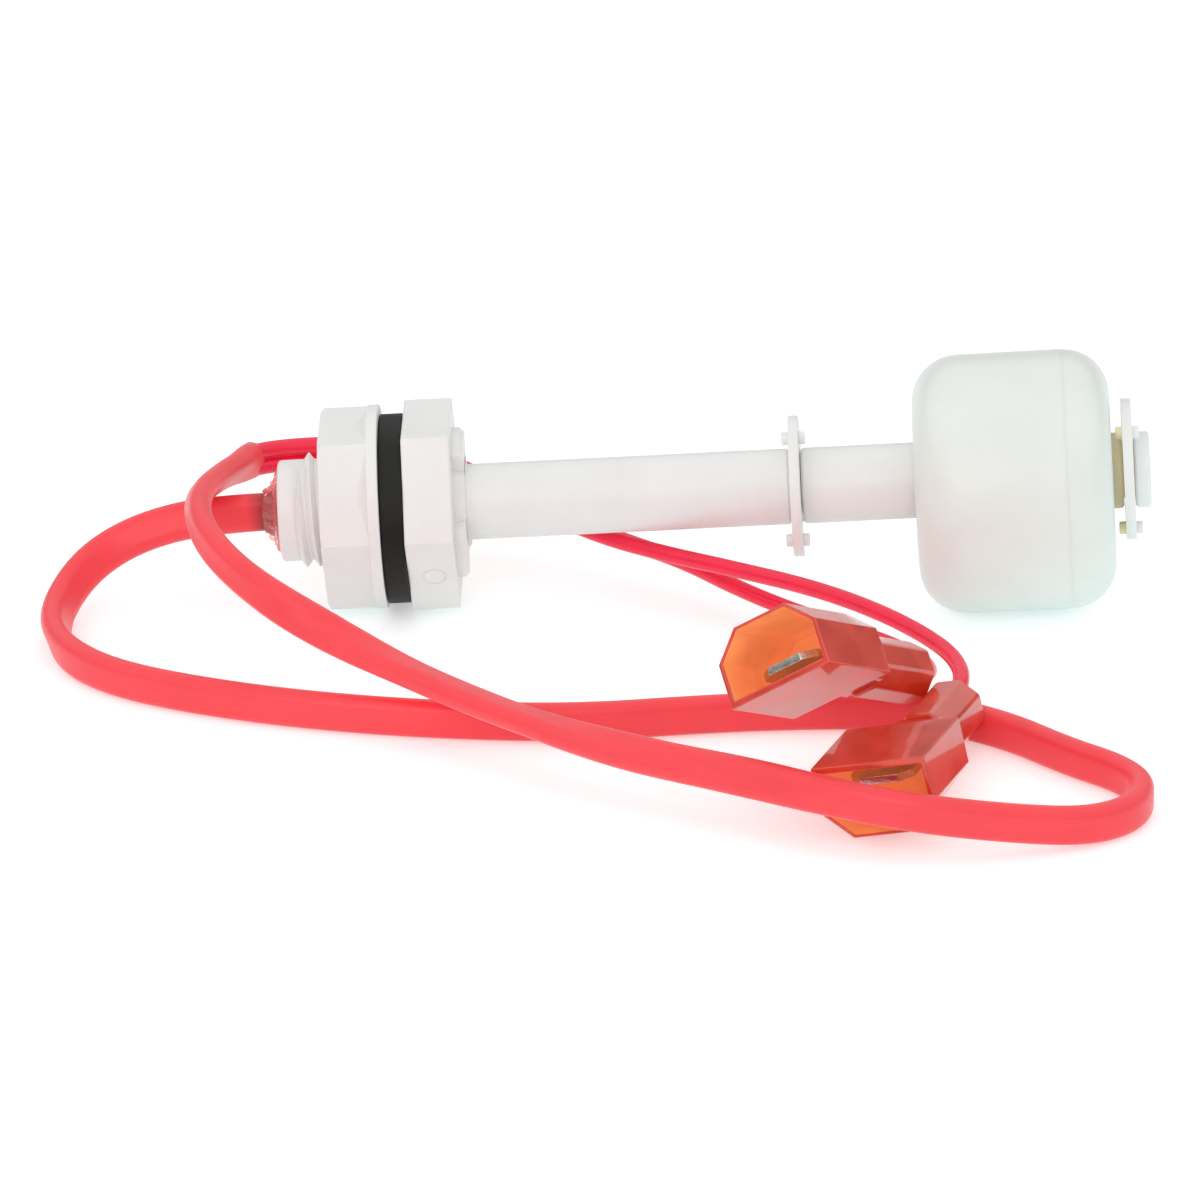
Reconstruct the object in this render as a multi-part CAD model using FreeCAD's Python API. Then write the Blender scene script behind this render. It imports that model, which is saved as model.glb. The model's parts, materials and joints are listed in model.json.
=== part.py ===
import FreeCAD, Part
import math
import os
from FreeCAD import Matrix, Placement, Rotation, Vector

os.makedirs("parts", exist_ok=True)

# Lengths are millimetres. The switch is drawn along X in its own frame: x = 0 is the hex flange's face on the
# gasket side, and +X runs along the stem to the float. It is then laid down on its nut flange and float.

# Threaded end, 7/16-20 UNF
thread_major_dia = 11.11
lead_in_length = 2.3
lead_in_dia = 9.88

# Hex flange and three-lug collar
hex_flats = 18.0
hex_thickness = 4.7
hex_corner_break = 0.3
collar_height = 1.1
collar_lug_radius = 7.35
collar_lug_angle = 60.0
collar_chamfer = 0.45
collar_core_radius = 5.3
collar_core_top_radius = 4.6

# Stem tube, grooves and bore
stem_dia = 7.4
groove_dia = 5.4
groove_width = 1.12
groove_edge_break = 0.25
mid_groove_station = 37.35
tip_length = 1.55
tip_chamfer = 0.25
stem_bore_dia = 4.0
end_wall = 3.5
potting_bore_dia = 7.0
potting_depth = 5.0

# Retaining clips
clip_dia = 13.75
clip_thickness = 1.0
clip_hole_dia = 6.3
clip_mouth = 5.2
nub_dia = 1.25
nub_height = 0.66
nub_circle_radius = 5.75
mid_clip_nub_angle = 76.0
end_clip_nub_angle = 60.0
mid_clip_side_gap = 0.05
end_clip_lift = 0.1

# Float
float_length = 19.2
float_weld_dia = 25.3
float_draft = 0.15
float_corner_radius = 4.6
float_wall = 0.9
float_bore_dia = 8.8
float_cap_length = 4.4
float_travel = 10.4
float_stop_gap = 0.05
float_end_gap = 0.4
float_hang = 0.6
weld_groove_depth = 0.14
weld_groove_width = 0.3
magnet_dia = 14.0
magnet_length = 5.0

# Locknut with its own washer flange
nut_flats = 17.2
nut_height = 5.8
nut_flange_thickness = 1.1
nut_flange_dia = 19.9
nut_fillet_radius = 1.3
nut_corner_break = 0.45
nut_travel = 4.3

# Gasket
gasket_dia = 18.5
gasket_thickness = 2.35
gasket_hang = 0.3

# Reed switch and its wires, inside the stem
reed_dia = 2.2
reed_length = 14.0
reed_wall = 0.35
reed_seal_length = 2.0
reed_end_clearance = 2.75
reed_offset = 0.75
blade_wire_dia = 0.5
blade_width = 1.1
blade_thickness = 0.22
blade_overlap = 1.2
blade_tail = 3.0
blade_gap = 0.06
inner_wire_dia = 1.0
inner_wire_offset = -1.35
splice_dia = 1.4
splice_length = 3.0
bridge_thickness = 0.8

# Glue bead round the sleeve
bead_dia = 8.2
bead_tip_dia = 4.6
bead_height = 1.5

# Running and seating gaps
fit_gap = 0.02
thread_gap = 0.05
seat_gap = 0.03

# Cord: an outer sleeve over two leads
sleeve_width = 3.8
sleeve_thickness = 2.3
exit_run = 7.0
lead_dia = 1.6
lead_offset = 0.85
lead_start_gap = 0.8

# Insulated tab terminals
housing_width = 11.4
housing_height = 7.2
housing_side = 4.5
housing_narrow = 5.9
housing_length = 10.8
housing_wall = 0.85
neck_width = 6.4
neck_height = 4.8
neck_length = 4.4
neck_corner = 1.0
barrel_flats = 5.7
barrel_length = 9.4
barrel_bore_dia = 4.4
barrel_bore_depth = 5.0
barrel_rim_break = 0.35
tab_width = 6.35
tab_thickness = 0.81
tab_tip_chamfer = 1.3
tab_recess = 1.9
tab_height_in_mouth = 2.4
tab_hole_dia = 1.6
tab_hole_inset = 3.2
tab_shank_width = 3.4
crimp_dia = 3.2
crimp_length = 6.0

# Stations that follow from the sizes above
thread_end_length = gasket_thickness + nut_height + nut_travel + thread_gap
nut_face = -gasket_thickness - nut_height
mid_clip_station = mid_groove_station + mid_clip_side_gap
mid_stop = mid_clip_station + clip_thickness + nub_height
float_station = mid_stop + float_stop_gap + float_travel
float_closed_end_dia = float_weld_dia - float_draft
end_stop = float_station + float_length + float_end_gap
end_clip_station = end_stop + nub_height
end_groove_station = end_clip_station - (groove_width - clip_thickness) / 2
stem_end = end_groove_station + groove_width + tip_length
stem_bore_end = end_groove_station - end_wall
reed_station = stem_bore_end - reed_end_clearance - bridge_thickness - seat_gap - blade_tail - reed_length
weld_station = float_length - float_cap_length


def outline(start, *steps):
    """Closed face in the XZ half plane from points (x, r); a step of two points is an arc via the first."""
    edges = []
    here = Vector(start[0], 0, start[1])
    for step in steps + (start,):
        if isinstance(step[0], tuple):
            middle = Vector(step[0][0], 0, step[0][1])
            there = Vector(step[1][0], 0, step[1][1])
            edges.append(Part.Arc(here, middle, there).toShape())
        else:
            there = Vector(step[0], 0, step[1])
            edges.append(Part.makeLine(here, there))
        here = there
    return Part.Face(Part.Wire(edges))


def turned(start, *steps):
    return outline(start, *steps).revolve(Vector(0, 0, 0), Vector(1, 0, 0), 360)


def rod(x_from, x_to, dia, y=0.0, z=0.0):
    return Part.makeCylinder(dia / 2, x_to - x_from, Vector(x_from, y, z), Vector(1, 0, 0))


def around(angle):
    """Unit vector across the axis: 0 degrees points to the front (-Y), 90 degrees points up."""
    a = math.radians(angle)
    return Vector(0, -math.cos(a), math.sin(a))


def prism(corners, x_from, x_to):
    points = [Vector(x_from, y, z) for y, z in corners]
    face = Part.Face(Part.makePolygon(points + points[:1]))
    return face.extrude(Vector(x_to - x_from, 0, 0))


def hexagon(flats):
    radius = flats / math.sqrt(3)
    return [(radius * around(60 * k).y, radius * around(60 * k).z) for k in range(6)]


def corner_middle(centre_x, centre_r, radius, angle):
    """Point of a corner arc at an angle from +X towards +r."""
    a = math.radians(angle)
    return (centre_x + radius * math.cos(a), centre_r + radius * math.sin(a))


# Stem body: thread, hex flange, collar and tube in one moulding


def thread_core():
    major = thread_major_dia / 2
    lead = lead_in_dia / 2
    step = major - lead
    lead_end = -thread_end_length + lead_in_length
    return turned((-thread_end_length, 0), (-thread_end_length, lead - 0.3), (-thread_end_length + 0.3, lead),
                  (lead_end, lead), (lead_end + step, major), (0, major), (0, 0))


def hex_flange():
    block = prism(hexagon(hex_flats), 0, hex_thickness)
    corner = hex_flats / math.sqrt(3)
    rounder = turned((0, 0), (0, corner - hex_corner_break), (hex_corner_break, corner),
                     (hex_thickness - hex_corner_break, corner), (hex_thickness, corner - hex_corner_break),
                     (hex_thickness, 0))
    return block.common(rounder)


def collar():
    top = hex_thickness + collar_height
    disc = turned((hex_thickness, 0), (hex_thickness, collar_lug_radius),
                  (top - collar_chamfer, collar_lug_radius),
                  (top, collar_lug_radius - collar_chamfer), (top, 0))
    lugs = []
    for middle in (90, 210, 330):
        first = around(middle - collar_lug_angle / 2) * 2 * collar_lug_radius
        last = around(middle + collar_lug_angle / 2) * 2 * collar_lug_radius
        tip = around(middle) * 2.6 * collar_lug_radius
        wedge = prism([(0, 0), (first.y, first.z), (tip.y, tip.z), (last.y, last.z)], hex_thickness, top)
        lugs.append(disc.common(wedge))
    core = turned((hex_thickness, 0), (hex_thickness, collar_core_radius),
                  (top, collar_core_top_radius), (top, 0))
    return core.multiFuse(lugs)


def groove(station):
    outer = stem_dia / 2
    bottom = groove_dia / 2
    flare = groove_edge_break
    end = station + groove_width
    return turned((station, bottom), (end, bottom), (end, outer - flare), (end + flare, outer),
                  (end + flare, outer + 1), (station - flare, outer + 1), (station - flare, outer),
                  (station, outer - flare))


def stem_body():
    outer = stem_dia / 2
    tube = turned((0, 0), (0, outer), (stem_end - tip_chamfer, outer),
                  (stem_end, outer - tip_chamfer), (stem_end, 0))
    body = thread_core().multiFuse([hex_flange(), collar(), tube])
    body = body.cut(groove(mid_groove_station))
    body = body.cut(groove(end_groove_station))
    body = body.cut(rod(-thread_end_length, stem_bore_end, stem_bore_dia))
    body = body.cut(rod(-thread_end_length, -thread_end_length + potting_depth, potting_bore_dia))
    return body.removeSplitter()


# Locknut and gasket


def locknut():
    flange_face = nut_face + nut_height
    flange_back = flange_face - nut_flange_thickness
    corner = nut_flats / math.sqrt(3)
    flange_radius = nut_flange_dia / 2
    hexed = prism(hexagon(nut_flats), nut_face, flange_back + 0.1)
    slope = nut_corner_break * math.tan(math.radians(35))
    rounder = turned((nut_face, 0), (nut_face, corner - nut_corner_break), (nut_face + slope, corner),
                     (flange_face, corner), (flange_face, 0))
    flange = turned((flange_back, 0), (flange_back, flange_radius), (flange_face, flange_radius),
                    (flange_face, 0))
    rise = flange_radius - nut_flats / 2
    run = nut_fillet_radius
    part_way = 1 - math.sin(math.radians(45))
    middle = (flange_back - run * part_way, nut_flats / 2 + rise * part_way)
    sweep = turned((flange_back, 0), (flange_back, flange_radius),
                   (middle, (flange_back - run, nut_flats / 2)), (flange_back - run, 0))
    nut = hexed.common(rounder).multiFuse([flange, sweep])
    bore = rod(nut_face, flange_face, thread_major_dia + 2 * thread_gap)
    mouth = turned((nut_face, 0), (nut_face, thread_major_dia / 2 + 0.5),
                   (nut_face + 0.5, thread_major_dia / 2), (nut_face + 0.5, 0))
    return nut.cut(bore).cut(mouth).removeSplitter()


def gasket():
    """Flat ring that hangs on the thread by its loose bore."""
    ring = rod(-gasket_thickness + seat_gap, -seat_gap, gasket_dia)
    ring = ring.cut(rod(-gasket_thickness, 0, thread_major_dia + 2 * gasket_hang + 4 * thread_gap))
    ring.translate(Vector(0, 0, -gasket_hang))
    return ring


# Retaining clip: a flat C with three nubs on each face


def clip(station, nub_angle, lift):
    plate = rod(station, station + clip_thickness, clip_dia)
    plate = plate.cut(rod(station, station + clip_thickness, clip_hole_dia))
    mouth_angle = nub_angle - 180
    reach = around(mouth_angle) * clip_dia
    side = around(mouth_angle + 90) * (clip_mouth / 2)
    corners = [(-side.y, -side.z), (side.y, side.z), (side.y + reach.y, side.z + reach.z),
               (reach.y - side.y, reach.z - side.z)]
    plate = plate.cut(prism(corners, station, station + clip_thickness))
    nubs = []
    for k in range(3):
        centre = around(nub_angle + 120 * k) * nub_circle_radius
        nub_end = station + clip_thickness + nub_height
        nubs.append(rod(station - nub_height, nub_end, nub_dia, centre.y, centre.z))
    piece = plate.multiFuse(nubs).removeSplitter()
    piece.translate(Vector(0, 0, lift))
    return piece


# Float: a cup with its own inner tube, a welded cap and a ring magnet


def float_shell():
    bore = float_bore_dia / 2
    tube = bore + float_wall
    closed = float_closed_end_dia / 2
    weld = float_weld_dia / 2
    corner = float_corner_radius
    inner = corner - float_wall
    tube_end = float_length - float_wall
    outer_middle = corner_middle(corner, closed - corner, corner, 135)
    inner_middle = corner_middle(corner, closed - corner, inner, 135)
    return turned((0, bore), (0, closed - corner), (outer_middle, (corner, closed)),
                  (weld_station - weld_groove_width, weld), (weld_station, weld - weld_groove_depth),
                  (weld_station, weld - float_wall), (corner, closed - float_wall),
                  (inner_middle, (float_wall, closed - corner)), (float_wall, tube),
                  (tube_end, tube), (tube_end, bore))


def float_cap():
    bore = float_bore_dia / 2
    weld = float_weld_dia / 2 - weld_groove_depth
    corner = float_cap_length
    inner = corner - float_wall
    centre = weld - corner
    outer_middle = corner_middle(weld_station, centre, corner, 45)
    inner_middle = corner_middle(weld_station, centre, inner, 45)
    return turned((weld_station, weld), (outer_middle, (float_length, centre)), (float_length, bore),
                  (float_length - float_wall, bore), (float_length - float_wall, centre),
                  (inner_middle, (weld_station, weld - float_wall)))


def float_magnet():
    start = float_wall + seat_gap
    ring = rod(start, start + magnet_length, magnet_dia)
    return ring.cut(rod(start, start + magnet_length, float_bore_dia + 2 * float_wall + 2 * fit_gap))


def on_stem(piece):
    piece.translate(Vector(float_station, 0, -float_hang))
    return piece


# Reed switch, inner wires and potting


def reed_capsule():
    outer = reed_dia / 2
    inner = outer - reed_wall
    last = reed_station + reed_length
    glass = turned((reed_station, 0), (reed_station, outer - 0.5), (reed_station + 0.8, outer),
                   (last - 0.8, outer), (last, outer - 0.5), (last, 0))
    hollow = rod(reed_station + reed_seal_length, last - reed_seal_length, 2 * inner)
    wires = rod(reed_station, last, blade_wire_dia + 2 * fit_gap)
    glass = glass.cut(hollow).cut(wires)
    glass.translate(Vector(0, 0, reed_offset))
    return glass


def reed_blade(side):
    """Blade of the left (-1) or right (+1) end: a round wire flattened inside the glass."""
    middle = reed_station + reed_length / 2
    seal = reed_length / 2 - reed_seal_length
    outside = reed_length / 2 + blade_tail
    height = side * (blade_gap + blade_thickness) / 2
    wire = rod(seal - 0.4, outside, blade_wire_dia)
    flat = Part.makeBox(seal + blade_overlap / 2, blade_width, blade_thickness,
                        Vector(-blade_overlap / 2, -blade_width / 2, height - blade_thickness / 2))
    blade = wire.fuse(flat).removeSplitter()
    if side < 0:
        blade = blade.mirror(Vector(0, 0, 0), Vector(1, 0, 0))
    blade.translate(Vector(middle, 0, reed_offset))
    return blade


def splice_sleeve():
    """Crimped splice between the left blade's tail and its wire."""
    last = reed_station - 0.6
    sleeve = rod(last - splice_length, last, splice_dia, 0, reed_offset)
    tail = rod(reed_station - blade_tail, last, blade_wire_dia + 2 * fit_gap, 0, reed_offset)
    return sleeve.cut(tail)


def splice_bridge():
    """Solder bridge from the right blade's tail down to the return wire."""
    start = reed_station + reed_length + blade_tail + seat_gap
    height = reed_offset - inner_wire_offset
    bridge = Part.makeBox(bridge_thickness, inner_wire_dia, height,
                          Vector(start, -inner_wire_dia / 2, inner_wire_offset))
    end = start + bridge_thickness
    ends = [rod(start, end, inner_wire_dia, 0, z) for z in (reed_offset, inner_wire_offset)]
    return bridge.multiFuse(ends).removeSplitter()


def inner_wire_a():
    last = reed_station - 0.6 - splice_length - seat_gap
    return rod(-thread_end_length, last, inner_wire_dia, 0, reed_offset)


def inner_wire_b():
    last = reed_station + reed_length + blade_tail
    return rod(-thread_end_length, last, inner_wire_dia, 0, inner_wire_offset)


def potting_plug():
    first = -thread_end_length
    plug = rod(first, first + potting_depth - seat_gap, potting_bore_dia - 2 * fit_gap)
    for height in (reed_offset, inner_wire_offset):
        plug = plug.cut(rod(first, first + potting_depth, inner_wire_dia + 2 * fit_gap, 0, height))
    return plug


def oval(centre, along, width, thickness):
    """Closed wire of two flats and two round ends across a direction, its wide way nearest to upright."""
    side = Vector(0, 0, 1).cross(along)
    side.normalize()
    up = along.cross(side)
    up.normalize()
    flat = up * (width / 2 - thickness / 2)
    half = side * (thickness / 2)
    top = centre.add(flat)
    bottom = centre.sub(flat)
    crown = centre.add(up * (width / 2))
    foot = centre.sub(up * (width / 2))
    edges = [Part.LineSegment(bottom.add(half), top.add(half)).toShape(),
             Part.Arc(top.add(half), crown, top.sub(half)).toShape(),
             Part.LineSegment(top.sub(half), bottom.sub(half)).toShape(),
             Part.Arc(bottom.sub(half), foot, bottom.add(half)).toShape()]
    return Part.Wire(edges)


def glue_bead():
    base = -thread_end_length - seat_gap
    half = bead_dia / 2
    tip = bead_tip_dia / 2
    bead = turned((base, 0), (base, half), (base - 0.35 * bead_height, half - 0.15),
                  ((base - 0.7 * bead_height, (half + tip) / 2), (base - bead_height, tip)),
                  (base - bead_height, 0))
    ring = oval(Vector(base, 0, 0), Vector(-1, 0, 0), sleeve_width + 2 * fit_gap,
                sleeve_thickness + 2 * fit_gap)
    return bead.cut(Part.Face(ring).extrude(Vector(-bead_height, 0, 0)))


# Terminal: nylon housing and stamped tab, drawn along +X from the mouth, base side at z = 0


def house_section(inset):
    half = housing_width / 2 - inset
    narrow = housing_narrow / 2 - inset * 0.45
    top = housing_height - inset
    side = housing_side - inset * 0.45
    return [(-half, inset), (half, inset), (half, side), (narrow, top), (-narrow, top), (-half, side)]


def chamfered_box_section(width, height, corner, centre_z):
    w = width / 2
    low = centre_z - height / 2
    high = centre_z + height / 2
    return [(w - corner, low), (w, low + corner), (w, high - corner), (w - corner, high),
            (corner - w, high), (-w, high - corner), (-w, low + corner), (corner - w, low)]


terminal_axis_z = housing_height / 2
neck_end = housing_length + neck_length
barrel_end = neck_end + barrel_length


def housing():
    outer = prism(house_section(0), 0, housing_length)
    pocket = prism(house_section(housing_wall), 0, housing_length - housing_wall)
    neck_section = chamfered_box_section(neck_width, neck_height, neck_corner, terminal_axis_z)
    neck = prism(neck_section, housing_length, neck_end)
    barrel_corner = barrel_flats / 2 * (1 - math.tan(math.radians(22.5)))
    barrel_section = chamfered_box_section(barrel_flats, barrel_flats, barrel_corner, terminal_axis_z)
    barrel = prism(barrel_section, neck_end, barrel_end)
    corner = barrel_flats / 2 / math.cos(math.radians(22.5))
    rim = turned((neck_end, 0), (neck_end, corner - barrel_rim_break), (neck_end + barrel_rim_break, corner),
                 (barrel_end - barrel_rim_break, corner), (barrel_end, corner - barrel_rim_break),
                 (barrel_end, 0))
    rim.translate(Vector(0, 0, terminal_axis_z))
    body = outer.cut(pocket).multiFuse([neck, barrel.common(rim)])
    crimp_from = barrel_end - barrel_bore_depth - crimp_length
    slot_from = housing_length - housing_wall
    slot_width = tab_shank_width + 2 * fit_gap
    slot_floor = tab_height_in_mouth - tab_thickness / 2 - fit_gap
    slot = Part.makeBox(crimp_from - slot_from, slot_width, tab_thickness + 2 * fit_gap,
                        Vector(slot_from, -slot_width / 2, slot_floor))
    crimp_bore = rod(crimp_from, barrel_end, crimp_dia + 2 * fit_gap, 0, terminal_axis_z)
    entry = rod(barrel_end - barrel_bore_depth, barrel_end, barrel_bore_dia, 0, terminal_axis_z)
    step = Part.makeBox(1.0, slot_width, terminal_axis_z - tab_height_in_mouth + tab_thickness,
                        Vector(crimp_from - 1.0, -slot_width / 2, slot_floor))
    return body.cut(slot).cut(crimp_bore).cut(entry).cut(step).removeSplitter()


def tab():
    """Flat tab with chamfered tip, narrow shank, and the round crimp on the lead."""
    half = tab_width / 2
    tip = tab_recess
    shoulder = housing_length - housing_wall - seat_gap
    corners = [(tip, half - tab_tip_chamfer), (tip + tab_tip_chamfer, half), (shoulder, half),
               (shoulder, tab_shank_width / 2)]
    crimp_from = barrel_end - barrel_bore_depth - crimp_length
    corners.append((crimp_from - 0.2, tab_shank_width / 2))
    points = [Vector(x, y, 0) for x, y in corners] + [Vector(x, -y, 0) for x, y in reversed(corners)]
    flat = Part.Face(Part.makePolygon(points + points[:1])).extrude(Vector(0, 0, tab_thickness))
    hole = Part.makeCylinder(tab_hole_dia / 2, tab_thickness, Vector(tip + tab_hole_inset, 0, 0))
    flat = flat.cut(hole)
    flat.translate(Vector(0, 0, tab_height_in_mouth - tab_thickness / 2))
    crimp = rod(crimp_from + fit_gap, crimp_from + crimp_length, crimp_dia, 0, terminal_axis_z)
    riser = Part.makeBox(0.8, tab_shank_width * 0.7, terminal_axis_z - tab_height_in_mouth + 0.3,
                         Vector(crimp_from - 0.8, -tab_shank_width * 0.35, tab_height_in_mouth))
    foot = Part.makeBox(0.8 + 0.4, tab_shank_width * 0.7, tab_thickness / 2,
                        Vector(crimp_from - 0.8, -tab_shank_width * 0.35, terminal_axis_z - 0.1))
    return flat.multiFuse([riser, foot, crimp]).removeSplitter()


# Laying the switch down: it rests on the rim of the nut's flange and on the float


def contact_tilt():
    nut_x = nut_face + nut_height - nut_flange_thickness
    float_x = float_station + float_corner_radius
    drop = float_closed_end_dia / 2 + float_hang - nut_flange_dia / 2
    return math.degrees(math.asin(drop / (float_x - nut_x)))


def laid_down(switch_pieces, tilt):
    """Placement that tilts the float end up and sets the box's lowest middle point on the origin."""
    turn = Placement(Vector(0, 0, 0), Rotation(Vector(0, 1, 0), -tilt))
    box = FreeCAD.BoundBox()
    for piece in switch_pieces:
        copy = piece.copy()
        copy.Placement = turn.multiply(copy.Placement)
        box.add(copy.optimalBoundingBox(True, False))
    shift = Vector(-(box.XMin + box.XMax) / 2, -(box.YMin + box.YMax) / 2, -box.ZMin)
    return Placement(shift, Rotation(Vector(0, 1, 0), -tilt))


# Cord


def cord_tube(name, points, width, thickness):
    """Tube along straight runs joined by tangent arcs, each arc as large as its runs allow."""
    runs = [b.sub(a) for a, b in zip(points, points[1:])]
    sizes = [run.Length for run in runs]
    edges = []
    radii = []
    here = points[0]
    for k in range(1, len(points) - 1):
        into = runs[k - 1] * (1 / sizes[k - 1])
        away = runs[k] * (1 / sizes[k])
        turn = into.getAngle(away)
        reach = 0.45 * min(sizes[k - 1], sizes[k])
        radii.append(reach / math.tan(turn / 2))
        start = points[k].sub(into * reach)
        end = points[k].add(away * reach)
        bisector = away.sub(into)
        bisector.normalize()
        radius = radii[-1]
        centre = points[k].add(bisector * (radius / math.cos(turn / 2)))
        middle = centre.sub(bisector * radius)
        edges.append(Part.LineSegment(here, start).toShape())
        edges.append(Part.Arc(start, middle, end).toShape())
        here = end
    edges.append(Part.LineSegment(here, points[-1]).toShape())
    path = Part.Wire(edges)
    if width > thickness:
        sweep = Part.BRepOffsetAPI.MakePipeShell(path)
        sweep.setBiNormalMode(Vector(0, 0, 1))
        sweep.add(oval(points[0], runs[0], width, thickness), False, False)
        sweep.build()
        sweep.makeSolid()
        tube = sweep.shape()
    else:
        ring = Part.Wire(Part.makeCircle(width / 2, points[0], runs[0]))
        tube = path.makePipeShell([ring], True, False)
    expected = (math.pi * thickness ** 2 / 4 + (width - thickness) * thickness) * path.Length
    print(name, "length", round(path.Length, 1), "smallest radius", round(min(radii), 2),
          "volume ratio", round(tube.Volume / expected, 4), "valid", tube.isValid())
    print(name, "radii", [round(r, 1) for r in radii])
    print(name, "runs", [round(size, 1) for size in sizes])
    return tube


sleeve_route = [(-55.4, 0.0, 7.2), (-60.3, -1.9, 4.6), (-63.3, -6.8, 2.4), (-63.6, -13.2, 1.9),
                (-61.0, -19.4, 1.9), (-56.2, -24.2, 1.9), (-48.6, -28.0, 1.9), (-38.6, -31.3, 1.9),
                (-26.4, -33.6, 1.9), (-12.4, -34.4, 1.9), (1.0, -31.9, 1.9), (11.6, -31.0, 1.9),
                (21.0, -31.2, 1.9), (28.6, -34.8, 1.9), (34.6, -40.5, 1.9), (39.4, -44.4, 1.9),
                (41.6, -49.6, 1.9), (40.5, -55.2, 1.9), (36.4, -59.0, 2.0), (30.2, -60.2, 2.9),
                (20.8, -61.9, 4.7), (12.6, -59.8, 5.4), (4.0, -54.8, 5.4), (-6.0, -49.4, 5.4),
                (-16.0, -42.6, 5.6), (-25.5, -35.0, 6.0), (-34.5, -29.4, 8.2), (-43.0, -24.8, 11.4),
                (-48.6, -16.8, 13.3), (-50.4, -7.4, 13.8), (-49.2, 2.8, 12.7), (-44.6, 9.7, 11.3)]
lead_a_route = [(-37.4, 12.0, 12.0), (-30.2, 12.4, 11.6), (-22.9, 11.4, 9.8), (-17.3, 7.2, 7.8),
                (-11.5, 2.2, 6.2), (-4.7, -2.2, 5.9), (2.9, -6.9, 6.2), (10.1, -12.2, 6.7),
                (16.1, -16.8, 6.4), (20.9, -21.2, 5.6), (24.1, -26.2, 5.2)]
lead_b_route = [(-37.4, 12.0, 10.3), (-30.2, 12.6, 9.9), (-22.3, 12.2, 8.0), (-15.7, 9.2, 6.0),
                (-9.1, 5.8, 4.4), (-2.9, 1.0, 4.0), (2.9, -4.6, 3.4), (8.7, -9.2, 2.8),
                (14.7, -13.2, 2.4), (19.3, -17.6, 2.4), (21.7, -22.8, 2.8)]

# Where each terminal lies: the rear rim's centre, the way to the rear, and the way across the wide side
terminal_a_rim = (23.9, -34.9, 3.8)
terminal_a_rearward = (0.31, 0.95, -0.035)
terminal_a_across = (0.933, -0.266, 0.243)
terminal_b_rim = (19.5, -32.9, 6.5)
terminal_b_rearward = (0.533, 0.741, -0.41)
terminal_b_across = (0.802, -0.258, 0.539)
terminal_a_lift = 1.3
terminal_b_lift = 0.0
lead_inside_terminal = 3.0
lead_before_terminal = 3.0


def terminal_placement(rim, rearward, across, base_up):
    along = Vector(*rearward)
    along.normalize()
    side = Vector(*across)
    side = side.sub(along * side.dot(along))
    side.normalize()
    if not base_up:
        side = side * -1
    up = along.cross(side)
    mouth = Vector(*rim).sub(along * barrel_end).sub(up * terminal_axis_z)
    matrix = Matrix(along.x, side.x, up.x, mouth.x, along.y, side.y, up.y, mouth.y,
                    along.z, side.z, up.z, mouth.z, 0, 0, 0, 1)
    return Placement(matrix)


def lead_points(start, route, rim, rearward, lift):
    along = Vector(*rearward)
    along.normalize()
    end = Vector(*rim).sub(along * lead_inside_terminal)
    before = Vector(*rim).add(along * lead_before_terminal).add(Vector(0, 0, lift))
    return [start] + [Vector(*point) for point in route] + [before, end]


# Build every piece

root_pieces = {
    "stem_body": stem_body(),
    "mid_clip": clip(mid_clip_station, mid_clip_nub_angle, 0.0),
    "end_clip": clip(end_clip_station, end_clip_nub_angle, end_clip_lift),
    "reed_capsule": reed_capsule(),
    "reed_blade_a": reed_blade(-1),
    "reed_blade_b": reed_blade(1),
    "splice_sleeve": splice_sleeve(),
    "splice_bridge": splice_bridge(),
    "inner_wire_a": inner_wire_a(),
    "inner_wire_b": inner_wire_b(),
    "potting_plug": potting_plug(),
    "glue_bead": glue_bead(),
}
float_pieces = {
    "float_shell": on_stem(float_shell()),
    "float_cap": on_stem(float_cap()),
    "float_magnet": on_stem(float_magnet()),
}
screwed_pieces = {"locknut": locknut(), "gasket": gasket()}
switch = {**root_pieces, **float_pieces, **screwed_pieces}

tilt = contact_tilt()
placement = laid_down(list(switch.values()), tilt)
for piece in switch.values():
    piece.Placement = placement.multiply(piece.Placement)

axis_direction = placement.Rotation.multVec(Vector(1, 0, 0))
exit_point = placement.multVec(Vector(-thread_end_length - seat_gap, 0, 0))
print("tilt", round(tilt, 4), "axis", axis_direction)
print("flange face centre", placement.multVec(Vector(0, 0, 0)), "exit", exit_point)

first_bend = exit_point.sub(axis_direction * exit_run)
sleeve_points = [exit_point, first_bend] + [Vector(*point) for point in sleeve_route]
sleeve_end = sleeve_points[-1]
last_run = sleeve_end.sub(sleeve_points[-2])
last_run.normalize()
start_a = sleeve_end.add(last_run * lead_start_gap).add(Vector(0, 0, lead_offset))
start_b = sleeve_end.add(last_run * lead_start_gap).sub(Vector(0, 0, lead_offset))
points_a = lead_points(start_a, lead_a_route, terminal_a_rim, terminal_a_rearward, terminal_a_lift)
points_b = lead_points(start_b, lead_b_route, terminal_b_rim, terminal_b_rearward, terminal_b_lift)
cord = {
    "cable_sleeve": cord_tube("sleeve", sleeve_points, sleeve_width, sleeve_thickness),
    "lead_a": cord_tube("lead_a", points_a, lead_dia, lead_dia),
    "lead_b": cord_tube("lead_b", points_b, lead_dia, lead_dia),
}
place_a = terminal_placement(terminal_a_rim, terminal_a_rearward, terminal_a_across, True)
place_b = terminal_placement(terminal_b_rim, terminal_b_rearward, terminal_b_across, False)
for letter, place in (("a", place_a), ("b", place_b)):
    cord["housing_" + letter] = housing()
    cord["tab_" + letter] = tab()
    for kind in ("housing_", "tab_"):
        cord[kind + letter].Placement = place

for node, shape in {**switch, **cord}.items():
    solids = len(shape.Solids)
    if solids != 1 or not shape.isValid():
        print("check", node, "solids", solids, "valid", shape.isValid())
    shape.exportStep("parts/" + node + ".step")
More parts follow.
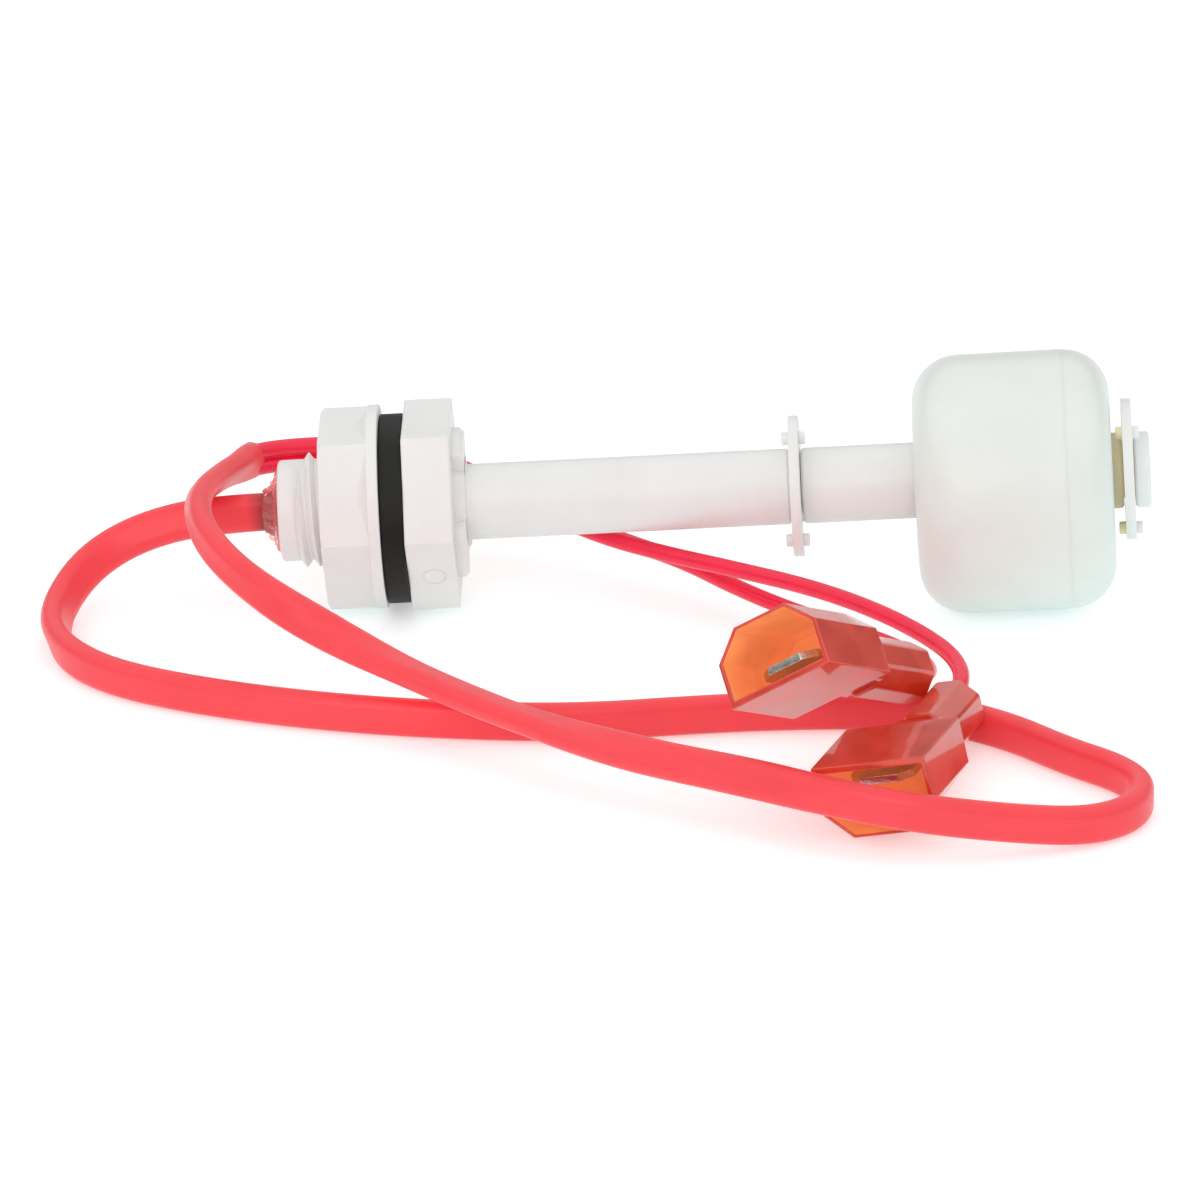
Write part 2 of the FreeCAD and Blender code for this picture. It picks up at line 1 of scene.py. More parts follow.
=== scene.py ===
"""Float level switch: stem, float, clips, nut, gasket and a sleeved lead cord with two tab terminals."""

import json
import math

import bpy
from mathutils import Matrix, Vector, noise


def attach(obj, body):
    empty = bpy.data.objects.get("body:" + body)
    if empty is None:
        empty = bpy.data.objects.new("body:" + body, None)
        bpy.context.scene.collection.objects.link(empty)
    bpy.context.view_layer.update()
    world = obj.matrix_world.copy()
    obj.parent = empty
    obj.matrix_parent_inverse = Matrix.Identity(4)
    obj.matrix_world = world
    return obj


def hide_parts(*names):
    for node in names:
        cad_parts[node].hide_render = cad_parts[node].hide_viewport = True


bl_info = {
    "name": "Float Level Switch",
    "version": (1, 0, 0),
    "blender": (4, 5, 0),
    "location": "View3D > Sidebar > Float Switch",
    "description": "Models a float level switch with its sleeved leads and insulated tab terminals",
    "category": "Add Mesh",
}

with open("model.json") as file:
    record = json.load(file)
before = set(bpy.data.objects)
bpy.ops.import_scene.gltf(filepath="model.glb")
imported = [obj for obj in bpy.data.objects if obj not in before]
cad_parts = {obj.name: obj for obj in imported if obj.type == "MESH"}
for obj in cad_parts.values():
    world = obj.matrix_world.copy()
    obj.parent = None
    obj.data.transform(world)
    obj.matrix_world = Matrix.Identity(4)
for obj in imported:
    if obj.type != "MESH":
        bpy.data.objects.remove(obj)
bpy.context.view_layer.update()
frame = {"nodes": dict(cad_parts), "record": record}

MM = 0.001
WELD = 0.002 * MM
UP = Vector((0, 0, 1))


# Colours and places


def linear(code):
    """An sRGB hex colour as linear red, green and blue."""
    parts = [int(code[k:k + 2], 16) / 255 for k in (1, 3, 5)]
    return [part / 12.92 if part <= 0.04045 else ((part + 0.055) / 1.055) ** 2.4 for part in parts]


def switch_placement():
    """From the switch's own frame, X along the stem from the hex flange's face, to the row frame."""
    thread = next(mount for mount in frame["record"]["mounts"] if mount["name"] == "panel_thread")
    along = -Vector(thread["axis"]).normalized()
    across = Vector((0, 1, 0))
    turn = Matrix((along, across, along.cross(across))).transposed().to_4x4()
    return Matrix.Translation(Vector(thread["pos_m"])) @ turn


SWITCH = switch_placement()


def length(label, about, millimetres):
    return bpy.props.FloatProperty(name=label, description=about, default=millimetres * MM, unit="LENGTH")


def angle(label, about, degrees):
    return bpy.props.FloatProperty(name=label, description=about, default=math.radians(degrees),
                                   unit="ROTATION")


def paint(label, about, code):
    return bpy.props.FloatVectorProperty(name=label, description=about, size=3, default=linear(code),
                                         min=0, max=1, subtype="COLOR")


class SwitchSizes(bpy.types.PropertyGroup):
    """Sizes of the switch: stations are measured along the stem from the hex flange's face."""

    thread_crest_dia: length("Thread crest", "Diameter over the thread's crests", 11.15)
    thread_root_dia: length("Thread root", "Diameter of the thread's root and of the plain lead-in", 9.88)
    thread_pitch: length("Thread pitch", "Distance from crest to crest", 1.27)
    thread_start: length("Thread start", "Station where the thread fades in, below the flange", -10.635)
    thread_end: length("Threaded end", "Station of the threaded end's face", -12.5)
    potting_bore_dia: length("Potting bore", "Diameter of the bore that the resin fills", 7.0)
    potting_depth: length("Potting depth", "Depth of the potting bore", 5.0)
    stem_bore_dia: length("Stem bore", "Diameter of the bore for the reed switch", 4.0)
    stem_bore_end: length("Bore end", "Station of the bore's blind end", 66.21)
    hex_flats: length("Flange flats", "Hex flange across its flats", 18.0)
    hex_thickness: length("Flange thickness", "Thickness of the hex flange", 4.7)
    collar_height: length("Collar height", "How far the collar stands off the hex flange", 1.1)
    collar_lug_radius: length("Lug radius", "Radius of the collar's three lugs", 7.35)
    collar_core_radius: length("Collar radius", "Radius of the collar between its lugs", 5.3)
    collar_top_radius: length("Collar top radius", "Radius of the collar at its top", 4.6)
    stem_dia: length("Stem", "Diameter of the stem tube", 7.4)
    groove_dia: length("Groove floor", "Diameter at the floor of the clip grooves", 5.4)
    groove_width: length("Groove width", "Width of the clip grooves", 1.12)
    groove_flare: length("Groove flare", "Chamfer at the edges of the clip grooves", 0.25)
    mid_groove: length("Middle groove", "Station of the middle clip groove", 37.35)
    end_groove: length("End groove", "Station of the end clip groove", 69.71)
    stem_end: length("Stem end", "Station of the stem's free end", 72.38)
    gasket_dia: length("Gasket", "Outer diameter of the gasket", 18.5)
    gasket_thickness: length("Gasket thickness", "Thickness of the gasket", 2.35)
    gasket_hang: length("Gasket hang", "How much lower the gasket hangs than the thread's axis", 0.3)
    nut_flats: length("Nut flats", "Locknut across its flats", 17.2)
    nut_height: length("Nut height", "Height of the locknut with its washer flange", 5.8)
    nut_flange_dia: length("Nut flange", "Diameter of the locknut's washer flange", 19.9)
    nut_flange_thickness: length("Nut flange thickness", "Thickness of the washer flange", 1.1)
    nut_fillet: length("Nut fillet", "Radius between the nut's flats and its flange", 1.3)
    nut_bore_dia: length("Nut bore", "Bore of the locknut", 11.21)
    clip_dia: length("Clip", "Outer diameter of a retaining clip", 13.75)
    clip_thickness: length("Clip thickness", "Thickness of a retaining clip's plate", 1.0)
    clip_hole_dia: length("Clip hole", "Hole of a retaining clip", 6.3)
    clip_mouth: length("Clip mouth", "Width of a retaining clip's mouth", 5.2)
    nub_dia: length("Nub", "Diameter of a clip's nubs", 1.25)
    nub_height: length("Nub height", "How far a nub stands off the plate", 0.66)
    nub_circle: length("Nub circle", "Radius of the circle on which the nubs stand", 5.75)
    mid_clip: length("Middle clip", "Station of the middle clip's plate", 37.4)
    mid_clip_turn: angle("Middle clip turn", "Angle of the middle clip's first nub above the front", 76)
    end_clip: length("End clip", "Station of the end clip's plate", 69.77)
    end_clip_turn: angle("End clip turn", "Angle of the end clip's first nub above the front", 60)
    end_clip_lift: length("End clip lift", "How much higher the end clip sits than the stem's axis", 0.1)
    float_start: length("Float start", "Station of the float's closed end at rest", 49.51)
    float_length: length("Float length", "Length of the float", 19.2)
    float_closed_dia: length("Closed end", "Diameter of the float at its closed end", 25.15)
    float_weld_dia: length("Weld diameter", "Diameter of the float at its weld", 25.3)
    float_corner: length("Float corner", "Radius of the float's closed end", 4.6)
    float_cap_length: length("Cap length", "Length of the float's welded cap", 4.4)
    float_wall: length("Float wall", "Wall thickness of the float", 0.9)
    float_bore_dia: length("Float bore", "Bore of the float", 8.8)
    float_hang: length("Float hang", "How much lower the float hangs than the stem's axis", 0.6)
    weld_groove: length("Weld groove", "Depth of the groove at the float's weld", 0.04)
    sleeve_width: length("Sleeve width", "The wide way of the oval sleeve", 3.8)
    sleeve_thickness: length("Sleeve thickness", "The narrow way of the oval sleeve", 2.3)
    sleeve_wall: length("Sleeve wall", "Wall thickness of the sleeve, seen at its open end", 0.25)
    sleeve_open: length("Sleeve opening", "How deep the sleeve's open end can be seen into", 3.0)
    lead_dia: length("Lead", "Diameter of each lead", 1.6)
    housing_width: length("Housing width", "Width of a terminal's housing at its base", 11.4)
    housing_height: length("Housing height", "Height of a terminal's housing", 7.2)
    housing_side: length("Housing side", "Height at which the housing starts to narrow", 4.5)
    housing_top: length("Housing top", "Width of the housing's top", 5.9)
    housing_length: length("Housing length", "Length of the housing's box", 10.8)
    housing_wall: length("Housing wall", "Wall thickness of the housing", 0.85)
    neck_width: length("Neck width", "Width of the neck behind the housing", 6.4)
    neck_height: length("Neck height", "Height of the neck", 4.8)
    neck_length: length("Neck length", "Length of the neck", 4.4)
    neck_corner: length("Neck corner", "Chamfer of the neck's corners", 1.0)
    barrel_flats: length("Barrel flats", "Eight-sided barrel across its flats", 5.7)
    barrel_length: length("Barrel length", "Length of the barrel", 9.4)
    barrel_bore_dia: length("Barrel bore", "Bore of the barrel where the lead goes in", 4.4)
    barrel_bore_depth: length("Barrel bore depth", "Depth of that bore", 5.0)
    tab_width: length("Tab width", "Width of the male tab", 6.35)
    tab_thickness: length("Tab thickness", "Thickness of the male tab", 0.81)
    tab_recess: length("Tab recess", "How far the tab's tip lies inside the mouth", 1.9)
    tab_chamfer: length("Tab chamfer", "Chamfer at the tab's tip", 1.3)
    tab_level: length("Tab level", "Height of the tab's middle above the housing's base", 2.4)
    tab_hole_dia: length("Tab hole", "Detent hole in the tab", 1.6)
    tab_hole_inset: length("Tab hole inset", "Distance of the detent hole from the tip", 3.2)
    glue_dia: length("Glue", "Diameter of the glue round the sleeve", 8.2)
    glue_height: length("Glue height", "How far the glue climbs along the sleeve", 1.5)


class SwitchColours(bpy.types.PropertyGroup):
    """Colours of the finishes."""

    polypropylene: paint("Polypropylene", "Stem, nut and clips", "#F3F3F1")
    float_white: paint("Float", "The float's cooler, faintly green white", "#EEF2ED")
    nitrile: paint("Gasket", "Black nitrile rubber", "#191917")
    sleeve: paint("Sleeve", "Coral red sleeve", "#FC464F")
    lead: paint("Leads", "Crimson wire insulation", "#F51A44")
    nylon: paint("Terminal outside", "Red nylon seen from outside", "#BC2E16")
    nylon_lit: paint("Terminal inside", "The same nylon with light coming through it", "#E89058")
    tin: paint("Tin", "Tin plating on the tabs", "#C9C7C1")
    # The glue's pink is painted light: the red sleeve seen through the clear glue.
    glue: paint("Glue", "Clear hot-melt glue, pink from the sleeve", "#F2C8C4")


class StudioSettings(bpy.types.PropertyGroup):
    """Camera and light."""

    view_turn: angle("Camera turn", "How far the camera stands to the left of straight ahead", 1.28)
    view_height: angle("Camera height", "How far the camera looks down", 22.8)
    view_roll: angle("Camera roll", "Turn of the picture about the line of sight", -0.29)
    distance: length("Distance", "From the camera to the point aimed at", 1103)
    aim_station: length("Aim station", "Station of the stem above the picture's middle", 18.75)
    aim_drop: length("Aim drop", "How far below the stem the picture's middle lies", 10.19)
    scale: bpy.props.FloatProperty(name="Scale", description="Pixels per millimetre at the point aimed at",
                                   default=10.26)
    world_light: bpy.props.FloatProperty(name="Room light", description="Strength of the white room",
                                         default=0.81)
    key_light: bpy.props.FloatProperty(name="Key light", description="Power of the large lamp in front",
                                       default=1.9, unit="POWER")
    top_light: bpy.props.FloatProperty(name="Top light", description="Power of the lamp overhead",
                                       default=0.12, unit="POWER")


# Modelling by hand


def deselect():
    if bpy.context.object and bpy.context.object.mode != "OBJECT":
        bpy.ops.object.mode_set(mode="OBJECT")
    bpy.ops.object.select_all(action="DESELECT")


def take(obj):
    """Makes one object the selected and active one."""
    deselect()
    obj.select_set(True)
    bpy.context.view_layer.objects.active = obj


def rounded(corners, pieces=8):
    """Points of an outline of corners (x, z, radius), with an arc where the radius isn't zero."""
    points = []
    count = len(corners)
    for k, (x, z, radius) in enumerate(corners):
        here = Vector((x, 0, z))
        if not radius:
            points.append(here)
            continue
        before = corners[k - 1]
        after = corners[(k + 1) % count]
        into = (here - Vector((before[0], 0, before[1]))).normalized()
        away = (Vector((after[0], 0, after[1])) - here).normalized()
        turn = into.angle(away)
        start = here - into * radius * math.tan(turn / 2)
        centre = here + (away - into).normalized() * radius / math.cos(turn / 2)
        spoke = start - centre
        for step in range(pieces + 1):
            swing = turn * step / pieces
            points.append(centre + spoke * math.cos(swing) + into * radius * math.sin(swing))
    return points


def draw(name, points):
    """One vertex extruded from point to point; it stays in edit mode with all selected."""
    deselect()
    bpy.ops.mesh.primitive_plane_add(size=MM, location=(0, 0, 0))
    obj = bpy.context.object
    obj.name = name
    bpy.ops.object.mode_set(mode="EDIT")
    bpy.ops.mesh.select_mode(type="VERT")
    bpy.ops.mesh.merge(type="CENTER")
    bpy.ops.transform.translate(value=points[0])
    for here, there in zip(points, points[1:]):
        bpy.ops.mesh.extrude_vertices_move(TRANSFORM_OT_translate={"value": there - here})
    bpy.ops.mesh.select_all(action="SELECT")
    return obj


def fill(name, points):
    """A closed outline drawn and filled; it stays in edit mode with all selected."""
    obj = draw(name, points + points[:1])
    bpy.ops.mesh.remove_doubles(threshold=WELD)
    bpy.ops.mesh.edge_face_add()
    return obj


def tidy_mesh():
    """Merges doubles and points the faces outwards, in edit mode, then leaves it."""
    bpy.ops.mesh.select_all(action="SELECT")
    bpy.ops.mesh.remove_doubles(threshold=WELD)
    bpy.ops.mesh.normals_make_consistent(inside=False)
    bpy.ops.object.mode_set(mode="OBJECT")


def turned(name, corners, sides=128, ring=False):
    """An outline of corners (station, radius, rounding) spun about the X axis."""
    points = rounded(corners)
    if ring:
        points.append(points[0])
    obj = draw(name, points)
    bpy.ops.mesh.spin(steps=sides, angle=math.tau, center=(0, 0, 0), axis=(1, 0, 0))
    tidy_mesh()
    return obj


def prism(name, section, x_from, x_to):
    """A section of (y, z) corners filled and extruded along X."""
    obj = fill(name, [Vector((x_from, y, z)) for y, z in section])
    bpy.ops.mesh.extrude_region_move(TRANSFORM_OT_translate={"value": (x_to - x_from, 0, 0)})
    tidy_mesh()
    return obj


def rod(name, x_from, x_to, dia, y=0.0, z=0.0, sides=64):
    """A cylinder along X."""
    deselect()
    middle = ((x_from + x_to) / 2, y, z)
    bpy.ops.mesh.primitive_cylinder_add(vertices=sides, radius=dia / 2, depth=x_to - x_from, location=middle,
                                        rotation=(0, math.pi / 2, 0))
    bpy.ops.object.transform_apply(location=True, rotation=True, scale=True)
    bpy.context.object.name = name
    return bpy.context.object


def select_faces(obj, test):
    """Enters edit mode with the faces selected whose middle and normal pass the test."""
    take(obj)
    bpy.ops.object.mode_set(mode="EDIT")
    bpy.ops.mesh.select_mode(type="FACE")
    bpy.ops.mesh.select_all(action="DESELECT")
    bpy.ops.object.mode_set(mode="OBJECT")
    for face in obj.data.polygons:
        face.select = test(face.center, face.normal)
    bpy.ops.object.mode_set(mode="EDIT")


def modify(obj, kind, **settings):
    """Adds one modifier with its settings and applies it."""
    take(obj)
    bpy.ops.object.modifier_add(type=kind)
    modifier = obj.modifiers[-1]
    for key, value in settings.items():
        setattr(modifier, key, value)
    bpy.ops.object.modifier_apply(modifier=modifier.name)


def combine(obj, tool, operation):
    """Boolean of two closed meshes; the tool is used up."""
    modify(obj, "BOOLEAN", operation=operation, solver="EXACT", object=tool)
    bpy.data.objects.remove(tool)


def join(obj, others):
    take(obj)
    for other in others:
        other.select_set(True)
    bpy.ops.object.join()
    return obj


def ease_edges(obj, width, segments=3, sharper_than=28):
    """Rounds the sharp edges a little, as moulding does, and keeps the flats flat."""
    modify(obj, "BEVEL", width=width, segments=segments, limit_method="ANGLE",
           angle_limit=math.radians(sharper_than), miter_outer="MITER_ARC")
    bpy.ops.object.shade_smooth()
    modify(obj, "WEIGHTED_NORMAL")
    return obj


def place(obj, matrix):
    """Sets the place in the mesh, so that the object stays at the origin."""
    obj.data.transform(matrix)
    obj.data.update()
    return obj


def fit_out(obj, name, body, nodes, material):
    """Names a finished piece, gives it its body and finish, and hides the nodes that it stands for."""
    obj.name = name
    obj.data.name = name
    if material:
        obj.data.materials.clear()
        obj.data.materials.append(material)
    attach(obj, body)
    if nodes:
        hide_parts(*nodes)
    return obj


def around(turn):
    """Direction across the stem: zero points to the front, a quarter turn points up."""
    return Vector((0, -math.cos(turn), math.sin(turn)))


# Finishes

# Painted light: a cream colour and glow for the stem and the end clip in the gap by the float, standing for
# light coming through the plastic.
GAP_PAINTED_LIGHT_CREAM = (0.84, 0.75, 0.5, 1)
GAP_PAINTED_GLOW = 0.14
# Painted glows: faint emission that brightens the sleeve, the leads and the glue, which give off no light.
SLEEVE_PAINTED_GLOW = 0.05
LEAD_PAINTED_GLOW = 0.08
GLUE_PAINTED_GLOW = 0.13


def add_node(tree, kind, inputs, **settings):
    """A node with its settings; an input is given a value or another node's output."""
    node = tree.nodes.new(kind)
    for key, value in settings.items():
        setattr(node, key, value)
    for key, value in inputs.items():
        if isinstance(value, bpy.types.NodeSocket):
            tree.links.new(value, node.inputs[key])
        else:
            node.inputs[key].default_value = value
    return node


def new_finish(name, **sockets):
    """A material with one principled shader, and that shader and its tree."""
    material = bpy.data.materials.new(name)
    material.use_nodes = True
    tree = material.node_tree
    tree.nodes.clear()
    inputs = {socket.replace("_", " "): value for socket, value in sockets.items()}
    shader = add_node(tree, "ShaderNodeBsdfPrincipled", inputs)
    add_node(tree, "ShaderNodeOutputMaterial", {"Surface": shader.outputs["BSDF"]})
    return material, tree, shader


def noise_at(tree, size, detail=3.0, stretch=(1, 1, 1)):
    """Noise whose blobs are about the given size, on the object's own coordinates."""
    place_in = add_node(tree, "ShaderNodeTexCoord", {})
    scaled = add_node(tree, "ShaderNodeMapping", {"Vector": place_in.outputs["Object"], "Scale": stretch})
    noise_node = add_node(tree, "ShaderNodeTexNoise", {"Vector": scaled.outputs["Vector"], "Scale": 1 / size,
                                                       "Detail": detail, "Roughness": 0.55})
    return noise_node.outputs["Fac"]


def shades(tree, factor, dark, light, start=0.35, end=0.65):
    """A colour that runs from dark to light as the factor rises."""
    ramp = add_node(tree, "ShaderNodeValToRGB", {"Fac": factor})
    ramp.color_ramp.elements[0].position = start
    ramp.color_ramp.elements[0].color = (*dark, 1)
    ramp.color_ramp.elements[1].position = end
    ramp.color_ramp.elements[1].color = (*light, 1)
    return ramp.outputs["Color"]


def varied(tree, factor, low, high):
    """A number that runs from low to high as the factor rises."""
    spread = add_node(tree, "ShaderNodeMapRange", {"Value": factor, "From Min": 0.3, "From Max": 0.7,
                                                   "To Min": low, "To Max": high})
    return spread.outputs["Result"]


def dented(tree, shader, height, depth):
    """Surface relief of the given depth."""
    bump = add_node(tree, "ShaderNodeBump", {"Height": height, "Distance": depth, "Strength": 1.0})
    feed(tree, shader, Normal=bump.outputs["Normal"])


def feed(tree, shader, **sources):
    """Links outputs to the shader's sockets of those names."""
    for socket, output in sources.items():
        tree.links.new(output, shader.inputs[socket.replace("_", " ")])


def tint(colour, factor):
    return [min(1.0, part * factor) for part in colour]


def station_of(tree):
    """How far along the stem a point lies, from the object's own coordinates."""
    here = add_node(tree, "ShaderNodeTexCoord", {})
    moved = add_node(tree, "ShaderNodeVectorMath", {0: here.outputs["Object"], 1: SWITCH.translation},
                     operation="SUBTRACT")
    along = (SWITCH.to_3x3() @ Vector((1, 0, 0))).normalized()
    return add_node(tree, "ShaderNodeVectorMath", {0: moved.outputs[0], 1: along}, operation="DOT_PRODUCT")


def moulded_polypropylene(name, colour, gloss, lit_gap=None):
    """Natural polypropylene, moulded: soft satin white, with a painted cream colour and glow in a gap,
    standing for light coming through it.
    """
    material, tree, shader = new_finish(name, IOR=1.49, Subsurface_Weight=0.18, Subsurface_Scale=0.6 * MM)
    shader.inputs["Subsurface Radius"].default_value = (1.0, 0.9, 0.75)
    cloud = noise_at(tree, 7 * MM)
    speck = noise_at(tree, 0.35 * MM, 4.0)
    white = shades(tree, cloud, tint(colour, 0.965), colour)
    # Painted light: between the lit_gap stations the colour turns cream and glows, standing for light coming
    # through the plastic.
    if lit_gap:
        station = station_of(tree)
        start, end = lit_gap
        inside = add_node(tree, "ShaderNodeMath", {0: station.outputs["Value"], 1: (start + end) / 2,
                                                   2: (end - start) / 2}, operation="COMPARE")
        mixed = add_node(tree, "ShaderNodeMixRGB", {"Fac": inside.outputs[0], "Color1": white,
                                                    "Color2": GAP_PAINTED_LIGHT_CREAM})
        white = mixed.outputs[0]
        glow = add_node(tree, "ShaderNodeMath", {0: inside.outputs[0], 1: GAP_PAINTED_GLOW}, operation="MULTIPLY")
        shader.inputs["Emission Color"].default_value = GAP_PAINTED_LIGHT_CREAM
        feed(tree, shader, Emission_Strength=glow.outputs[0])
    feed(tree, shader, Base_Color=white, Roughness=varied(tree, speck, gloss - 0.05, gloss + 0.07))
    dented(tree, shader, speck, 0.012 * MM)
    return material


def nitrile_rubber(colour):
    """Black nitrile rubber, die-cut: matt, with a dusty bloom and a drawn edge."""
    material, tree, shader = new_finish("nitrile_rubber", IOR=1.33)
    bloom = noise_at(tree, 2.5 * MM, 5.0)
    drawn = noise_at(tree, 0.5 * MM, 2.0, (0.25, 1, 1))
    feed(tree, shader, Base_Color=shades(tree, bloom, tint(colour, 0.75), tint(colour, 1.5)),
         Roughness=varied(tree, bloom, 0.5, 0.66))
    dented(tree, shader, drawn, 0.02 * MM)
    return material


def extruded_sleeve(colour):
    """Extruded silicone-like sleeve: satin coral red, waxy, with a faint painted glow, and darker over its
    first few millimetres from the stem.
    """
    # A faint painted glow brightens the red; the sleeve gives off no light.
    material, tree, shader = new_finish("coral_sleeve", IOR=1.45, Subsurface_Weight=0.15,
                                        Subsurface_Scale=0.5 * MM, Sheen_Weight=0.15, Sheen_Roughness=0.4,
                                        Emission_Strength=SLEEVE_PAINTED_GLOW)
    shader.inputs["Subsurface Radius"].default_value = (1.0, 0.25, 0.2)
    along = add_node(tree, "ShaderNodeUVMap", {}, uv_map="along")
    drawn = add_node(tree, "ShaderNodeTexNoise", {"Vector": along.outputs["UV"], "Scale": 1 / (9 * MM),
                                                  "Detail": 2.0}).outputs["Fac"]
    grain = noise_at(tree, 0.3 * MM, 3.0)
    reach = add_node(tree, "ShaderNodeSeparateXYZ", {"Vector": along.outputs["UV"]})
    # Darker over the first few millimetres from the stem.
    stem_end_darkening = add_node(tree, "ShaderNodeMapRange", {"Value": reach.outputs["X"], "From Min": 1.6 * MM,
                                                "From Max": 3.2 * MM, "To Min": 0.45, "To Max": 1.0})
    red = shades(tree, drawn, tint(colour, 0.93), colour)
    darker = add_node(tree, "ShaderNodeVectorMath", {0: red, "Scale": stem_end_darkening.outputs[0]}, operation="SCALE")
    feed(tree, shader, Base_Color=darker.outputs[0], Emission_Color=darker.outputs[0],
         Roughness=varied(tree, grain, 0.34, 0.46))
    dented(tree, shader, grain, 0.01 * MM)
    return material


def wire_insulation(colour):
    """Extruded wire insulation: glossy crimson with fine scuffs and a faint painted glow."""
    material, tree, shader = new_finish("crimson_insulation", IOR=1.5, Emission_Strength=LEAD_PAINTED_GLOW,
                                        Emission_Color=(*colour, 1))
    scuff = noise_at(tree, 2.2 * MM, 2.0)
    red = shades(tree, scuff, tint(colour, 0.93), colour)
    feed(tree, shader, Base_Color=red, Roughness=varied(tree, scuff, 0.26, 0.36))
    return material


def moulded_nylon(name, colour, glow):
    """Red nylon, moulded thin: glossy, clouded inside, with a painted glow standing for light that comes
    through a wall.
    """
    material, tree, shader = new_finish(name, IOR=1.5, Coat_Weight=0.8, Coat_Roughness=0.05, Coat_IOR=1.55,
                                        Subsurface_Weight=0.2, Subsurface_Scale=1.0 * MM,
                                        Emission_Strength=glow)
    shader.inputs["Subsurface Radius"].default_value = (1.0, 0.35, 0.15)
    cloud = noise_at(tree, 3.5 * MM, 1.0)
    lighter = [min(1.0, part * 1.2 + 0.01) for part in colour]
    hue = shades(tree, cloud, colour, lighter, 0.38, 0.64)
    feed(tree, shader, Base_Color=hue, Emission_Color=hue, Roughness=varied(tree, cloud, 0.3, 0.42))
    return material


def tin_plate(name, colour, roughness):
    """Plated strip: bright, slightly brushed metal."""
    material, tree, shader = new_finish(name, Metallic=1.0)
    brushed = noise_at(tree, 0.25 * MM, 3.0, (0.15, 1, 1))
    bright = shades(tree, brushed, tint(colour, 0.85), colour)
    feed(tree, shader, Base_Color=bright, Roughness=varied(tree, brushed, roughness - 0.06, roughness + 0.08))
    dented(tree, shader, brushed, 0.002 * MM)
    return material


def clear_glue(colour):
    """Hot-melt glue, set: clear, glossy and lumpy, with a painted red glow standing for the red sleeve's
    light coming through it.
    """
    # The red emission is a painted glow, standing for the red sleeve's light through the glue; the pink base
    # colour is painted the same way.
    material, tree, shader = new_finish("hot_melt_glue", IOR=1.48, Transmission_Weight=0.9,
                                        Base_Color=(*colour, 1), Emission_Color=(0.8, 0.2, 0.2, 1),
                                        Emission_Strength=GLUE_PAINTED_GLOW)
    lumps = noise_at(tree, 0.9 * MM, 2.0)
    feed(tree, shader, Roughness=varied(tree, lumps, 0.03, 0.12))
    dented(tree, shader, lumps, 0.15 * MM)
    return material


def plain_inner(name, code, roughness, metallic=0.0, transmission=0.0):
    """A sealed inner piece: even colour with a faint grain."""
    colour = linear(code)
    material, tree, shader = new_finish(name, Metallic=metallic, Transmission_Weight=transmission)
    grain = noise_at(tree, 0.6 * MM)
    feed(tree, shader, Base_Color=shades(tree, grain, tint(colour, 0.9), colour),
         Roughness=varied(tree, grain, roughness - 0.05, roughness + 0.05))
    return material


# Studio

PICTURE_PIXELS = 1200
FLOOR_LEVEL = -0.05 * MM
FLOOR_FILL = (0.6, 1.0, 1.0, 1)
FLOOR_SEEN = (1.0, 0.95, 0.95, 1)


def seen_by(path, tree, *rays):
    """One where a ray of any of the kinds looks, zero elsewhere."""
    seen = path.outputs[rays[0]]
    for ray in rays[1:]:
        either = add_node(tree, "ShaderNodeMath", {0: seen, 1: path.outputs[ray]}, operation="MAXIMUM")
        seen = either.outputs[0]
    return seen


